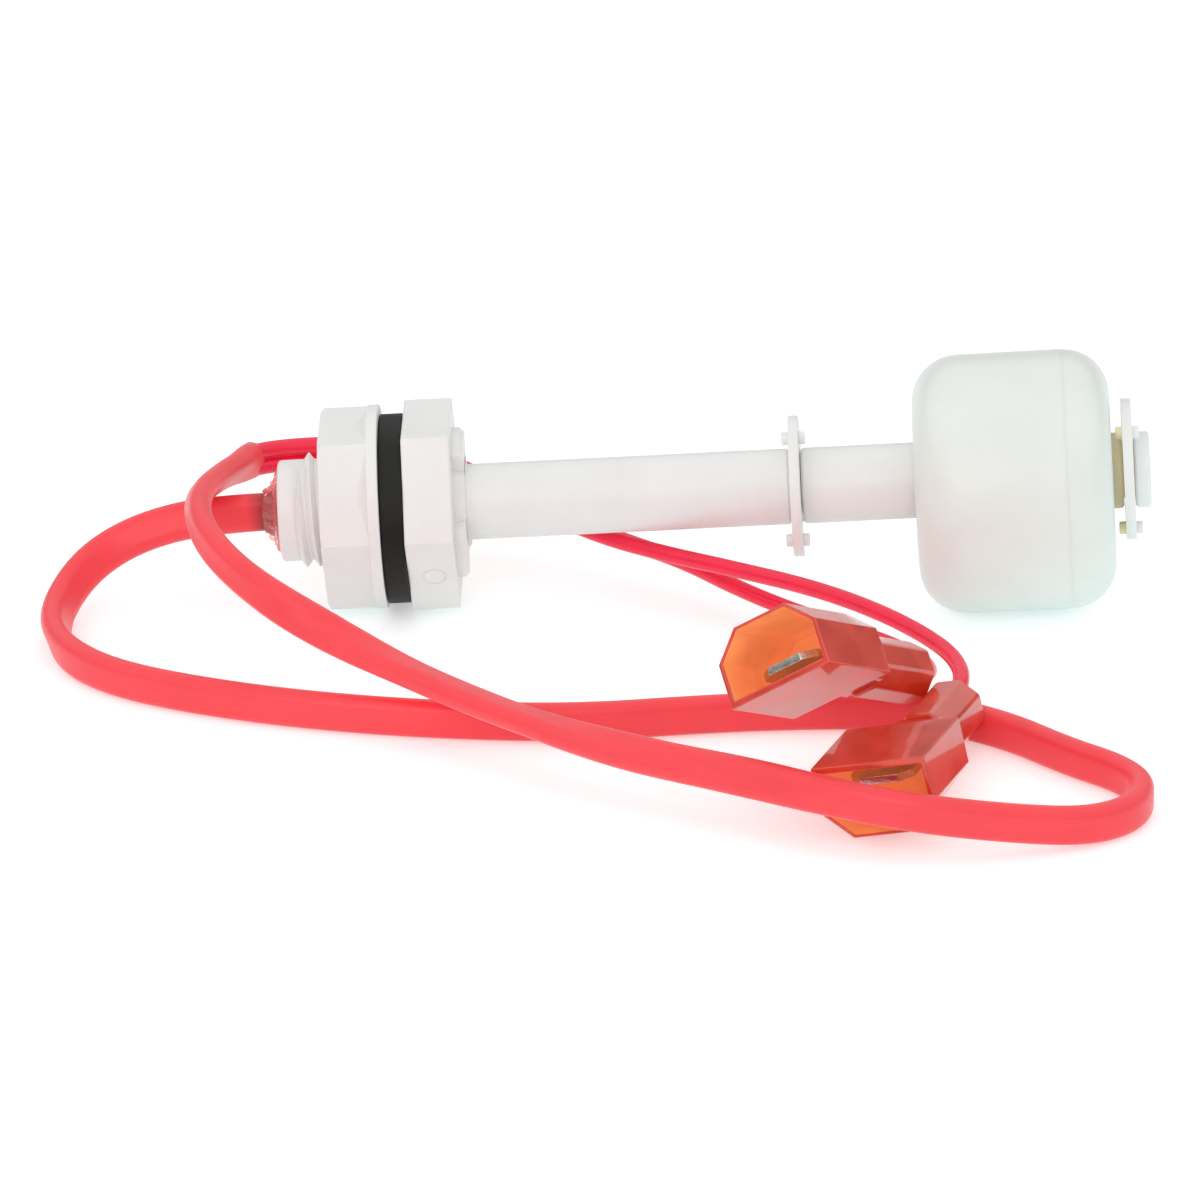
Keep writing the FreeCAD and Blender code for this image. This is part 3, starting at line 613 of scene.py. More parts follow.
class FLOATSWITCH_OT_studio(bpy.types.Operator):
    """Set up the camera, the pale floor and the soft light"""

    bl_idname = "floatswitch.studio"
    bl_label = "Studio"

    def execute(self, context):
        studio = context.scene.switch_studio
        self.camera(context, studio)
        self.floor()
        self.room(context, studio)
        self.lamp("key_lamp", studio.key_light, (-0.25, -0.95, 0.5), 0.6)
        self.lamp("top_lamp", studio.top_light, (0.1, 0.1, 0.8), 0.5)
        context.scene.view_settings.view_transform = "Standard"
        return {"FINISHED"}

    def camera(self, context, studio):
        turn = studio.view_turn
        height = studio.view_height
        forward = math.cos(height)
        ahead = Vector((-math.sin(turn) * forward, math.cos(turn) * forward, -math.sin(height)))
        right = Vector((math.cos(turn), math.sin(turn), 0))
        above = right.cross(ahead)
        level = right * math.cos(studio.view_roll) + above * math.sin(studio.view_roll)
        above = above * math.cos(studio.view_roll) - right * math.sin(studio.view_roll)
        aim = SWITCH @ Vector((studio.aim_station, 0, 0)) - above * studio.aim_drop
        turned_camera = Matrix((level, above, -ahead)).transposed().to_4x4()
        data = bpy.data.cameras.new("camera")
        data.sensor_width = 36
        data.lens = data.sensor_width * studio.scale * (studio.distance / MM) / PICTURE_PIXELS
        data.clip_end = 10
        obj = bpy.data.objects.new("camera", data)
        obj.matrix_world = Matrix.Translation(aim - ahead * studio.distance) @ turned_camera
        context.collection.objects.link(obj)
        context.scene.camera = obj

    def floor(self):
        """White paper, which lifts its shadows where it is seen and sends a faint cool light up."""
        deselect()
        bpy.ops.mesh.primitive_plane_add(size=6, location=(0, 0, FLOOR_LEVEL))
        sheet = bpy.context.object
        sheet.name = "floor"
        bpy.ops.object.mode_set(mode="EDIT")
        bpy.ops.mesh.subdivide(number_cuts=4)
        bpy.ops.object.mode_set(mode="OBJECT")
        material = bpy.data.materials.new("white_paper")
        material.use_nodes = True
        tree = material.node_tree
        tree.nodes.clear()
        fibre = noise_at(tree, 0.4)
        paper = shades(tree, fibre, (0.84, 0.9, 0.9), (0.86, 0.92, 0.92))
        matt = add_node(tree, "ShaderNodeBsdfDiffuse", {"Color": paper})
        path = add_node(tree, "ShaderNodeLightPath", {})
        seen = seen_by(path, tree, "Is Camera Ray", "Is Glossy Ray", "Is Transmission Ray")
        lift = add_node(tree, "ShaderNodeMapRange", {"Value": seen, "To Min": 0.22, "To Max": 0.42})
        hue = add_node(tree, "ShaderNodeMixRGB", {"Fac": seen, "Color1": FLOOR_FILL, "Color2": FLOOR_SEEN})
        glow = add_node(tree, "ShaderNodeEmission", {"Color": hue.outputs[0], "Strength": lift.outputs[0]})
        both = add_node(tree, "ShaderNodeAddShader", {0: matt.outputs[0], 1: glow.outputs[0]})
        add_node(tree, "ShaderNodeOutputMaterial", {"Surface": both.outputs[0]})
        sheet.data.materials.append(material)

    def room(self, context, studio):
        """A white room; gloss sees a bright softbox above and a dim room below it."""
        world = bpy.data.worlds.new("white_room")
        context.scene.world = world
        world.use_nodes = True
        tree = world.node_tree
        tree.nodes.clear()
        path = add_node(tree, "ShaderNodeLightPath", {})
        seen = seen_by(path, tree, "Is Camera Ray", "Is Transmission Ray")
        strength = add_node(tree, "ShaderNodeMapRange", {"Value": seen, "To Min": studio.world_light,
                                                         "To Max": 1.0})
        toward = add_node(tree, "ShaderNodeTexCoord", {})
        parts = add_node(tree, "ShaderNodeSeparateXYZ", {"Vector": toward.outputs["Generated"]})
        softbox = add_node(tree, "ShaderNodeMapRange", {"Value": parts.outputs["Z"], "From Min": 0.3,
                                                        "From Max": 0.42, "To Min": 0.15, "To Max": 1.15})
        strength = add_node(tree, "ShaderNodeMix", {"Factor": path.outputs["Is Glossy Ray"],
                                                    "A": strength.outputs[0], "B": softbox.outputs[0]})
        white = (1, 1, 1, 1)
        light = add_node(tree, "ShaderNodeBackground", {"Color": white, "Strength": strength.outputs[0]})
        add_node(tree, "ShaderNodeOutputWorld", {"Surface": light.outputs[0]})

    def lamp(self, name, power, position, size):
        data = bpy.data.lights.new(name, "AREA")
        data.shape = "DISK"
        data.size = size
        data.energy = power
        obj = bpy.data.objects.new(name, data)
        obj.location = position
        toward = Vector((0, -0.02, 0.01)) - Vector(position)
        obj.rotation_euler = toward.to_track_quat("-Z", "Y").to_euler()
        bpy.context.collection.objects.link(obj)


# Cord

SLEEVE_ROUTE = [(-48.66, 0, 9.04), (-55.4, 0.0, 7.2), (-60.2, -1.9, 4.8), (-62.9, -6.8, 2.5),
                (-63.1, -13.2, 1.9), (-60.9, -19.3, 1.9), (-56.2, -24.2, 1.9), (-48.6, -28.0, 1.9),
                (-38.6, -31.3, 1.9), (-26.4, -33.6, 1.9), (-12.4, -34.4, 1.9), (1.0, -31.9, 1.9),
                (11.6, -31.0, 1.9), (21.0, -31.2, 1.9), (28.6, -35.4, 1.9), (34.6, -41.9, 1.9),
                (39.2, -45.6, 1.9), (41.6, -49.8, 1.9), (40.6, -54.8, 1.9), (36.4, -58.2, 2.0),
                (30.2, -60.0, 2.9), (20.8, -61.9, 4.7), (12.6, -59.8, 5.4), (4.0, -54.8, 5.4),
                (-6.0, -49.7, 5.3), (-16.0, -43.0, 5.5), (-25.5, -35.0, 6.0), (-34.5, -29.4, 8.2),
                (-43.0, -24.8, 11.6), (-48.2, -16.8, 13.4), (-49.5, -7.4, 13.8), (-47.5, 2.6, 12.2),
                (-45.1, 9.3, 10.9)]
SLEEVE_ROLLS = ((0, 0), (12, 30), (28, 30), (40, 0), (183, 0), (205, 55), (222, 100), (232, 100), (256, 0),
                (264, 0), (278, 42), (283, 40), (290, 4), (400, 4))
LEAD_A_ROUTE = [(-37.4, 12.0, 11.7), (-30.2, 12.4, 11.2), (-22.9, 11.2, 9.1), (-17.3, 7.0, 7.2),
                (-11.1, 2.2, 6.2), (-4.7, -2.2, 6.1), (2.9, -6.9, 6.3), (10.1, -12.2, 6.7),
                (16.1, -16.8, 6.4), (20.9, -21.2, 5.7), (24.1, -26.2, 5.3)]
LEAD_B_ROUTE = [(-37.4, 12.0, 10.0), (-30.2, 12.6, 9.5), (-22.3, 12.2, 7.6), (-15.7, 9.2, 5.8),
                (-9.1, 5.8, 4.3), (-2.5, 1.2, 3.9), (2.9, -4.6, 3.4), (8.7, -9.2, 2.8),
                (14.7, -13.2, 2.4), (19.3, -17.6, 2.4), (21.7, -22.8, 2.8)]
LEAD_A_LENGTH = 97.3 * MM
LEAD_B_LENGTH = 96.7 * MM
LEAD_SPREAD = 0.85 * MM
LEAD_START_IN = 1.8 * MM
LEAD_BEFORE_TERMINAL = 3.0 * MM
LEAD_INSIDE_TERMINAL = 3.0 * MM
TERMINALS = {
    "a": {"rim": (23.9, -34.9, 3.8), "rearward": (0.31, 0.95, -0.035), "across": (0.933, -0.266, 0.243),
          "base_up": True, "lift": 1.3},
    "b": {"rim": (19.5, -32.9, 6.5), "rearward": (0.533, 0.741, -0.41), "across": (0.802, -0.258, 0.539),
          "base_up": False, "lift": 0.0},
}


def route_spline(name, points, thickness=0.0):
    """A smooth cord along its control points."""
    data = bpy.data.curves.new(name, "CURVE")
    data.dimensions = "3D"
    data.resolution_u = 12
    data.bevel_depth = thickness / 2
    data.bevel_resolution = 8
    data.use_fill_caps = thickness > 0
    spline = data.splines.new("NURBS")
    spline.points.add(len(points) - 1)
    for control, point in zip(spline.points, points):
        control.co = (*point, 1)
    spline.order_u = 3
    spline.use_endpoint_u = True
    obj = bpy.data.objects.new(name, data)
    bpy.context.collection.objects.link(obj)
    return obj


def route_line(points):
    """The points of a smooth cord's middle line."""
    spline = route_spline("route", points)
    line = [vertex.co.copy() for vertex in bpy.data.meshes.new_from_object(spline).vertices]
    bpy.data.objects.remove(spline)
    return line


def sleeve_points(sizes):
    exit_point = SWITCH @ Vector((sizes.thread_end - 0.03 * MM, 0, 0))
    return [exit_point] + [Vector(point) * MM for point in SLEEVE_ROUTE]


def lead_points(route, side, terminal):
    end = Vector(SLEEVE_ROUTE[-1]) * MM
    heading = (end - Vector(SLEEVE_ROUTE[-2]) * MM).normalized()
    start = end - heading * LEAD_START_IN + UP * side * LEAD_SPREAD
    leaving = end + heading * LEAD_START_IN + UP * side * LEAD_SPREAD
    rearward = Vector(terminal["rearward"]).normalized()
    rim = Vector(terminal["rim"]) * MM
    before = rim + rearward * LEAD_BEFORE_TERMINAL + UP * terminal["lift"] * MM
    inside = rim - rearward * LEAD_INSIDE_TERMINAL
    return [start, leaving] + [Vector(point) * MM for point in route] + [before, inside]


class FLOATSWITCH_OT_cord(bpy.types.Operator):
    """Lay the oval sleeve and the two leads"""

    bl_idname = "floatswitch.cord"
    bl_label = "Cord"

    def execute(self, context):
        sizes = context.scene.switch_sizes
        colours = context.scene.switch_colours
        points = sleeve_points(sizes)
        line = route_line(points)
        sleeve = self.sleeve(sizes, line)
        fit_out(sleeve, "lead_sleeve", "switch", ["cable_sleeve"],
                extruded_sleeve(colours.sleeve))
        insulation = wire_insulation(colours.lead)
        for letter, side, route, real_length in (("a", 1, LEAD_A_ROUTE, LEAD_A_LENGTH),
                                                 ("b", -1, LEAD_B_ROUTE, LEAD_B_LENGTH)):
            name = "lead_wire_" + letter
            control = lead_points(route, side, TERMINALS[letter])
            line = route_line(control)
            lead = self.skin(name, self.rings(line, sizes.lead_dia, sizes.lead_dia))
            fit_out(lead, name, "switch", ["lead_" + letter], insulation)
        return {"FINISHED"}

    def sleeve(self, sizes, line):
        """An oval skin round the line, upright but where it leans, folded in at its open end."""
        outer = self.rings(line, sizes.sleeve_width, sizes.sleeve_thickness)
        open_from = len(line) - 1
        depth = 0.0
        while depth < sizes.sleeve_open:
            depth += (line[open_from] - line[open_from - 1]).length
            open_from -= 1
        inner = self.rings(line, sizes.sleeve_width - 2 * sizes.sleeve_wall,
                           sizes.sleeve_thickness - 2 * sizes.sleeve_wall)
        self.curve_cut(outer[-1], line)
        self.curve_cut(inner[-1], line)
        sleeve = self.skin("lead_sleeve", outer + inner[:open_from - 1:-1])
        self.unwrap(sleeve.data, line, len(outer[0]))
        return sleeve

    def skin(self, name, rings):
        """A closed skin over rings of points."""
        count = len(rings[0])
        vertices = [point for ring in rings for point in ring]
        faces = [tuple(range(count))]
        for k in range(len(rings) - 1):
            for j in range(count):
                after = (j + 1) % count
                faces.append((k * count + j, (k + 1) * count + j, (k + 1) * count + after, k * count + after))
        faces.append(tuple(range((len(rings) - 1) * count, len(rings) * count))[::-1])
        mesh = bpy.data.meshes.new(name)
        mesh.from_pydata(vertices, [], faces)
        obj = bpy.data.objects.new(name, mesh)
        bpy.context.collection.objects.link(obj)
        take(obj)
        bpy.ops.object.mode_set(mode="EDIT")
        bpy.ops.mesh.select_all(action="SELECT")
        bpy.ops.mesh.normals_make_consistent(inside=False)
        bpy.ops.object.mode_set(mode="OBJECT")
        bpy.ops.object.shade_smooth_by_angle(angle=math.radians(50))
        return obj

    def curve_cut(self, ring, line):
        """The sleeve was cut by hand, so the middle of its end stands forward."""
        bulge = (line[-1] - line[-2]).normalized() * 1.4 * MM
        for k, point in enumerate(ring):
            height = abs(point.z - line[-1].z) / (2 * MM)
            ring[k] = point + bulge * (1 - min(1.0, height) ** 2)

    def roll_at(self, reach):
        """How far the sleeve leans from upright: it lies over where it crosses itself and in its bends."""
        for (start, first), (end, last) in zip(SLEEVE_ROLLS, SLEEVE_ROLLS[1:]):
            if reach <= end * MM:
                share = (reach / MM - start) / (end - start)
                return math.radians(first + (last - first) * share * share * (3 - 2 * share))
        return 0.0

    def rings(self, line, width, thickness, count=36):
        rings = []
        reach = 0.0
        for k, centre in enumerate(line):
            reach += (centre - line[max(k - 1, 0)]).length
            ahead = (line[min(k + 1, len(line) - 1)] - line[max(k - 1, 0)]).normalized()
            level = UP.cross(ahead).normalized()
            roll = self.roll_at(reach) if width > thickness else 0.0
            side = level * math.cos(roll) + ahead.cross(level) * math.sin(roll)
            upright = ahead.cross(side)
            ring = []
            for j in range(count):
                turn = math.tau * (j + 0.5) / count
                flat = math.copysign((width - thickness) / 2, math.sin(turn))
                ring.append(centre + side * thickness / 2 * math.cos(turn)
                            + upright * (thickness / 2 * math.sin(turn) + flat))
            rings.append(ring)
        return rings

    def unwrap(self, mesh, line, count):
        """UV map in metres: U along the cord, V round it."""
        reach = [0.0]
        for here, there in zip(line, line[1:]):
            reach.append(reach[-1] + (there - here).length)
        layer = mesh.uv_layers.new(name="along")
        for loop in mesh.loops:
            ring = min(loop.vertex_index // count, len(line) - 1)
            layer.data[loop.index].uv = (reach[ring], (loop.vertex_index % count) / count * 10 * MM)


# Stem


class FLOATSWITCH_OT_stem(bpy.types.Operator):
    """Model the stem with its thread, hex flange, collar and grooves"""

    bl_idname = "floatswitch.stem"
    bl_label = "Stem"

    def execute(self, context):
        sizes = context.scene.switch_sizes
        colours = context.scene.switch_colours
        tube = self.tube(sizes)
        parts = [self.hex_flange(sizes), self.thread(sizes), self.gate_ring(sizes)] + self.lugs(sizes)
        stem = join(tube, parts)
        place(stem, SWITCH)
        # The stem is painted cream and glowing between the float and the end clip, standing for light coming
        # through it.
        fit_out(stem, "threaded_stem", "switch", ["stem_body"],
                moulded_polypropylene("natural_polypropylene", colours.polypropylene, 0.42,
                                      (sizes.float_start + sizes.float_length - 0.2 * MM, sizes.end_clip)))
        return {"FINISHED"}

    def groove(self, sizes, station):
        outer = sizes.stem_dia / 2
        floor = sizes.groove_dia / 2
        flare = sizes.groove_flare
        end = station + sizes.groove_width
        easing = 0.12 * MM
        return [(station - flare, outer, easing), (station, outer - flare, easing), (station, floor, 0),
                (end, floor, 0), (end, outer - flare, easing), (end + flare, outer, easing)]

    def tube(self, sizes):
        root = sizes.thread_root_dia / 2
        outer = sizes.stem_dia / 2
        collar_top = sizes.hex_thickness + sizes.collar_height
        potting = sizes.potting_bore_dia / 2
        bore = sizes.stem_bore_dia / 2
        inside_flange = sizes.hex_thickness / 2
        shoulder = sizes.thread_end + sizes.potting_depth
        corners = [(sizes.stem_bore_end, 0, 0), (sizes.stem_bore_end, bore, 0), (shoulder, bore, 0),
                   (shoulder, potting, 0), (sizes.thread_end, potting, 0.1 * MM),
                   (sizes.thread_end, root, 0.4 * MM), (inside_flange, root, 0),
                   (inside_flange, sizes.collar_core_radius, 0),
                   (sizes.hex_thickness, sizes.collar_core_radius, 0),
                   (collar_top, sizes.collar_top_radius, 0.2 * MM), (collar_top, outer, 0.15 * MM)]
        corners += self.groove(sizes, sizes.mid_groove) + self.groove(sizes, sizes.end_groove)
        corners += [(sizes.stem_end, outer, 0.3 * MM), (sizes.stem_end, 0, 0)]
        tube = turned("tube", corners)
        bpy.ops.object.shade_smooth_by_angle(angle=math.radians(32))
        return tube

    def hex_flange(self, sizes):
        block = rod("hex_flange", 0, sizes.hex_thickness, 2 * sizes.hex_flats / math.sqrt(3), sides=6)
        return ease_edges(block, 0.2 * MM)

    def lugs(self, sizes):
        """Three lugs, each a chamfered section spun through a sixth of a turn."""
        base = sizes.hex_thickness - 0.5 * MM
        top = sizes.hex_thickness + sizes.collar_height
        chamfer = 0.45 * MM
        inner = sizes.stem_dia / 2
        outer = sizes.collar_lug_radius
        corners = [(base, inner), (base, outer), (top - chamfer, outer), (top, outer - chamfer), (top, inner)]
        spread = math.radians(60)
        lugs = []
        for middle in (90, 210, 330):
            lug = fill("lug", [Vector((x, 0, radius)) for x, radius in corners])
            first = math.radians(90 - middle) + spread / 2
            bpy.ops.transform.rotate(value=-first, orient_axis="X", center_override=(0, 0, 0))
            bpy.ops.mesh.spin(steps=12, angle=spread, center=(0, 0, 0), axis=(1, 0, 0))
            tidy_mesh()
            lugs.append(ease_edges(lug, 0.1 * MM, 2))
        return lugs

    def thread(self, sizes):
        """A ridge wound as a right-hand screw, fading in at the lead-in and out at the flange."""
        root = sizes.thread_root_dia / 2 - 0.1 * MM
        crest = sizes.thread_crest_dia / 2
        half = 0.56 * MM
        flat = 0.05 * MM
        start = sizes.thread_start
        turns = 8
        run_in = 0.36
        section = [Vector((start - half, 0, root)), Vector((start - flat, 0, crest)),
                   Vector((start + flat, 0, crest)), Vector((start + half, 0, root))]
        steps = 56 * turns
        ridge = draw("thread", section)
        modify(ridge, "SCREW", axis="X", angle=math.tau * turns, screw_offset=sizes.thread_pitch * turns,
               steps=steps, render_steps=steps, use_merge_vertices=False)
        for vertex in ridge.data.vertices:
            radius = math.hypot(vertex.co.y, vertex.co.z)
            if radius < root + 0.1 * MM:
                continue
            wound = (vertex.co.x - start) / sizes.thread_pitch
            fade = max(0.0, min(1.0, wound / run_in, (turns - wound) / run_in))
            fade = fade * fade * (3 - 2 * fade)
            shrink = (root + (radius - root) * fade) / radius
            vertex.co.y *= shrink
            vertex.co.z *= shrink
        take(ridge)
        bpy.ops.object.mode_set(mode="EDIT")
        tidy_mesh()
        bpy.ops.object.shade_smooth_by_angle(angle=math.radians(35))
        return ridge

    def gate_ring(self, sizes):
        """A plain moulded ring on the flange's lower front face."""
        deselect()
        bpy.ops.mesh.primitive_torus_add(major_radius=1.1 * MM, minor_radius=0.07 * MM, major_segments=48,
                                         minor_segments=10, location=(0, 0, 0))
        ring = bpy.context.object
        facing = around(math.radians(-30))
        station = 2.57 * MM
        spot = Vector((station, 0, 0)) + facing * sizes.hex_flats / 2
        place(ring, Matrix.Translation(spot) @ facing.to_track_quat("Z", "Y").to_matrix().to_4x4())
        bpy.ops.object.shade_smooth()
        return ring


class FLOATSWITCH_OT_nut_and_gasket(bpy.types.Operator):
    """Model the locknut with its washer flange, and the gasket"""

    bl_idname = "floatswitch.nut_and_gasket"
    bl_label = "Nut and Gasket"

    def execute(self, context):
        sizes = context.scene.switch_sizes
        colours = context.scene.switch_colours
        nut = place(self.nut(sizes), SWITCH)
        fit_out(nut, "flanged_locknut", "locknut", ["locknut"],
                moulded_polypropylene("nut_polypropylene", colours.polypropylene, 0.45))
        gap = 0.03 * MM
        inner = sizes.nut_bore_dia / 2 + 0.05 * MM + sizes.gasket_hang
        outer = sizes.gasket_dia / 2
        near = gap - sizes.gasket_thickness
        far = -gap
        easing = 0.2 * MM
        gasket = turned("rubber_gasket", [(near, inner, 0), (near, outer, easing), (far, outer, easing),
                                          (far, inner, 0)], ring=True)
        bpy.ops.object.shade_smooth_by_angle(angle=math.radians(30))
        place(gasket, SWITCH @ Matrix.Translation((0, 0, -sizes.gasket_hang)))
        fit_out(gasket, "rubber_gasket", "gasket", ["gasket"],
                nitrile_rubber(colours.nitrile))
        return {"FINISHED"}

    def nut(self, sizes):
        flange_face = -sizes.gasket_thickness
        face = flange_face - sizes.nut_height
        flange_back = flange_face - sizes.nut_flange_thickness
        corner = sizes.nut_flats / math.sqrt(3)
        chamfer = 0.45 * MM
        slope = chamfer * math.tan(math.radians(35))
        block = rod("nut", face, flange_face - 0.2 * MM, 2 * corner, sides=6)
        dome = turned("dome", [(face, 0, 0), (face, corner - chamfer, 0), (face + slope, corner, 0.2 * MM),
                               (face + slope + MM, corner + 0.05 * MM, 0),
                               (flange_face, corner + 0.05 * MM, 0), (flange_face, 0, 0)])
        combine(block, dome, "INTERSECT")
        flats = sizes.nut_flats / 2
        rim = sizes.nut_flange_dia / 2
        flange = turned("flange", [(flange_back - sizes.nut_fillet, 0, 0),
                                   (flange_back - sizes.nut_fillet, flats, 0),
                                   (flange_back, flats, sizes.nut_fillet - 0.05 * MM),
                                   (flange_back, rim, 0.12 * MM), (flange_face, rim, 0.15 * MM),
                                   (flange_face, 0, 0)])
        combine(block, flange, "UNION")
        bore = rod("bore", face - MM, flange_face + MM, sizes.nut_bore_dia, sides=96)
        combine(block, bore, "DIFFERENCE")
        return ease_edges(block, 0.16 * MM, 3, 33)


class FLOATSWITCH_OT_clips(bpy.types.Operator):
    """Model the two retaining clips"""

    bl_idname = "floatswitch.clips"
    bl_label = "Retaining Clips"

    def execute(self, context):
        sizes = context.scene.switch_sizes
        # The end clip's nubs toward the float are painted cream and glowing, standing for light coming
        # through them.
        finish = moulded_polypropylene("clip_polypropylene", context.scene.switch_colours.polypropylene, 0.4,
                                       (sizes.end_clip - sizes.nub_height - 0.1 * MM, sizes.end_clip))
        for name, node, station, turn, lift in (
                ("retaining_clip_middle", "mid_clip", sizes.mid_clip, sizes.mid_clip_turn, 0.0),
                ("retaining_clip_end", "end_clip", sizes.end_clip, sizes.end_clip_turn, sizes.end_clip_lift)):
            clip = self.clip(sizes, station, turn)
            place(clip, SWITCH @ Matrix.Translation((0, 0, lift)))
            fit_out(clip, name, "switch", [node], finish)
        return {"FINISHED"}

    def clip(self, sizes, station, turn):
        end = station + sizes.clip_thickness
        plate = rod("clip", station, end, sizes.clip_dia, sides=96)
        combine(plate, rod("hole", station - MM, end + MM, sizes.clip_hole_dia, sides=64), "DIFFERENCE")
        mouth = around(turn - math.pi)
        side = around(turn - math.pi / 2) * sizes.clip_mouth / 2
        reach = mouth * sizes.clip_dia
        slot = prism("mouth", [(-side.y, -side.z), (side.y, side.z), ((side + reach).y, (side + reach).z),
                               ((reach - side).y, (reach - side).z)], station - MM, end + MM)
        combine(plate, slot, "DIFFERENCE")
        ease_edges(plate, 0.13 * MM)
        nubs = []
        for k in range(3):
            spot = around(turn + k * math.tau / 3) * sizes.nub_circle
            nub = rod("nub", station - sizes.nub_height, end + sizes.nub_height, sizes.nub_dia,
                      spot.y, spot.z, 32)
            nubs.append(ease_edges(nub, 0.16 * MM))
        return join(plate, nubs)


class FLOATSWITCH_OT_float(bpy.types.Operator):
    """Model the float's cup and its welded cap"""

    bl_idname = "floatswitch.float"
    bl_label = "Float"

    def execute(self, context):
        sizes = context.scene.switch_sizes
        finish = moulded_polypropylene("float_polypropylene", context.scene.switch_colours.float_white, 0.36)
        shift = SWITCH @ Matrix.Translation((sizes.float_start, 0, -sizes.float_hang))
        for name, node, make in (("float_cup", "float_shell", self.cup),
                                 ("float_dome", "float_cap", self.dome)):
            piece = make(sizes)
            bpy.ops.object.shade_smooth_by_angle(angle=math.radians(30))
            place(piece, shift)
            fit_out(piece, name, "float", [node], finish)
        return {"FINISHED"}

    def cup(self, sizes):
        bore = sizes.float_bore_dia / 2
        wall = sizes.float_wall
        closed = sizes.float_closed_dia / 2
        weld = sizes.float_weld_dia / 2
        corner = sizes.float_corner
        seam = sizes.float_length - sizes.float_cap_length
        end = sizes.float_length - wall
        groove = sizes.weld_groove
        corners = [(0, bore, 0.25 * MM), (0, closed, corner), (seam - 0.3 * MM, weld, 0.2 * MM),
                   (seam, weld - groove, 0), (seam, weld - wall, 0), (wall, closed - wall, corner - wall),
                   (wall, bore + wall, 0), (end, bore + wall, 0), (end, bore, 0)]
        return turned("cup", corners, 176, ring=True)

    def dome(self, sizes):
        bore = sizes.float_bore_dia / 2
        wall = sizes.float_wall
        end = sizes.float_length
        seam = end - sizes.float_cap_length
        weld = sizes.float_weld_dia / 2 - sizes.weld_groove
        radius = sizes.float_cap_length - 0.02 * MM
        corners = [(seam, weld, 0), (end, weld, radius), (end, bore, 0.25 * MM), (end - wall, bore, 0),
                   (end - wall, weld - wall, radius - wall), (seam, weld - wall, 0)]
        return turned("dome", corners, 176, ring=True)


GLUE_STRANDS = (
    (0.3, ((0.1, -0.6, 3.5), (-0.75, -0.8, 3.4), (-0.3, -0.9, 2.9), (-0.9, -0.9, 2.6), (-1.3, -0.8, 2.1))),
    (0.32, ((-1.5, -1.2, -1.4), (-0.8, -1.3, -1.8), (-1.1, -1.2, -2.3), (-0.4, -1.1, -2.6),
            (-0.6, -1.0, -3.1), (0.05, -0.9, -3.5))),
)


class FLOATSWITCH_OT_glue(bpy.types.Operator):
    """Model the clear glue where the sleeve enters the threaded end"""

    bl_idname = "floatswitch.glue"
    bl_label = "Glue"

    def execute(self, context):
        sizes = context.scene.switch_sizes
        base = sizes.thread_end - 0.03 * MM
        radius = sizes.glue_dia / 2
        tip = base - sizes.glue_height
        corners = [(base, 0, 0), (base, radius, 0.1 * MM), (base - 0.25 * MM, radius * 0.9, 0.3 * MM),
                   (base - 0.55 * MM, radius * 0.62, 0.5 * MM), (tip, radius * 0.5, 0.1 * MM), (tip, 0, 0)]
        bead = turned("glue", corners, 96)
        for vertex in bead.data.vertices:
            lumps = noise.noise(vertex.co / (0.9 * MM)) * 0.45 * MM
            outward = Vector((0, vertex.co.y, vertex.co.z))
            if outward.length > 1.2 * MM:
                vertex.co += outward.normalized() * lumps
                vertex.co.x -= max(0.0, noise.noise(vertex.co / (0.5 * MM))) * 0.3 * MM
        strands = []
        face = Vector((base, 0, 0))
        for thickness, route in GLUE_STRANDS:
            points = [face + Vector(point) * MM for point in route]
            strand = route_spline("glue_strand", points, thickness * MM)
            take(strand)
            bpy.ops.object.convert(target="MESH")
            strands.append(bpy.context.object)
        join(bead, strands)
        bpy.ops.object.shade_smooth()
        place(bead, SWITCH)
        fit_out(bead, "hot_melt_bead", "switch", ["glue_bead"],
                clear_glue(context.scene.switch_colours.glue))
        return {"FINISHED"}


# Terminals


def terminal_placement(sizes, spot):
    """From a terminal's own frame, X from its mouth to its rear, to the row frame."""
    along = Vector(spot["rearward"]).normalized()
    side = Vector(spot["across"])
    side = (side - along * side.dot(along)).normalized()
    if not spot["base_up"]:
        side = -side
    above = along.cross(side)
    reach = sizes.housing_length + sizes.neck_length + sizes.barrel_length
    mouth = Vector(spot["rim"]) * MM - along * reach - above * sizes.housing_height / 2
    return Matrix.Translation(mouth) @ Matrix((along, side, above)).transposed().to_4x4()


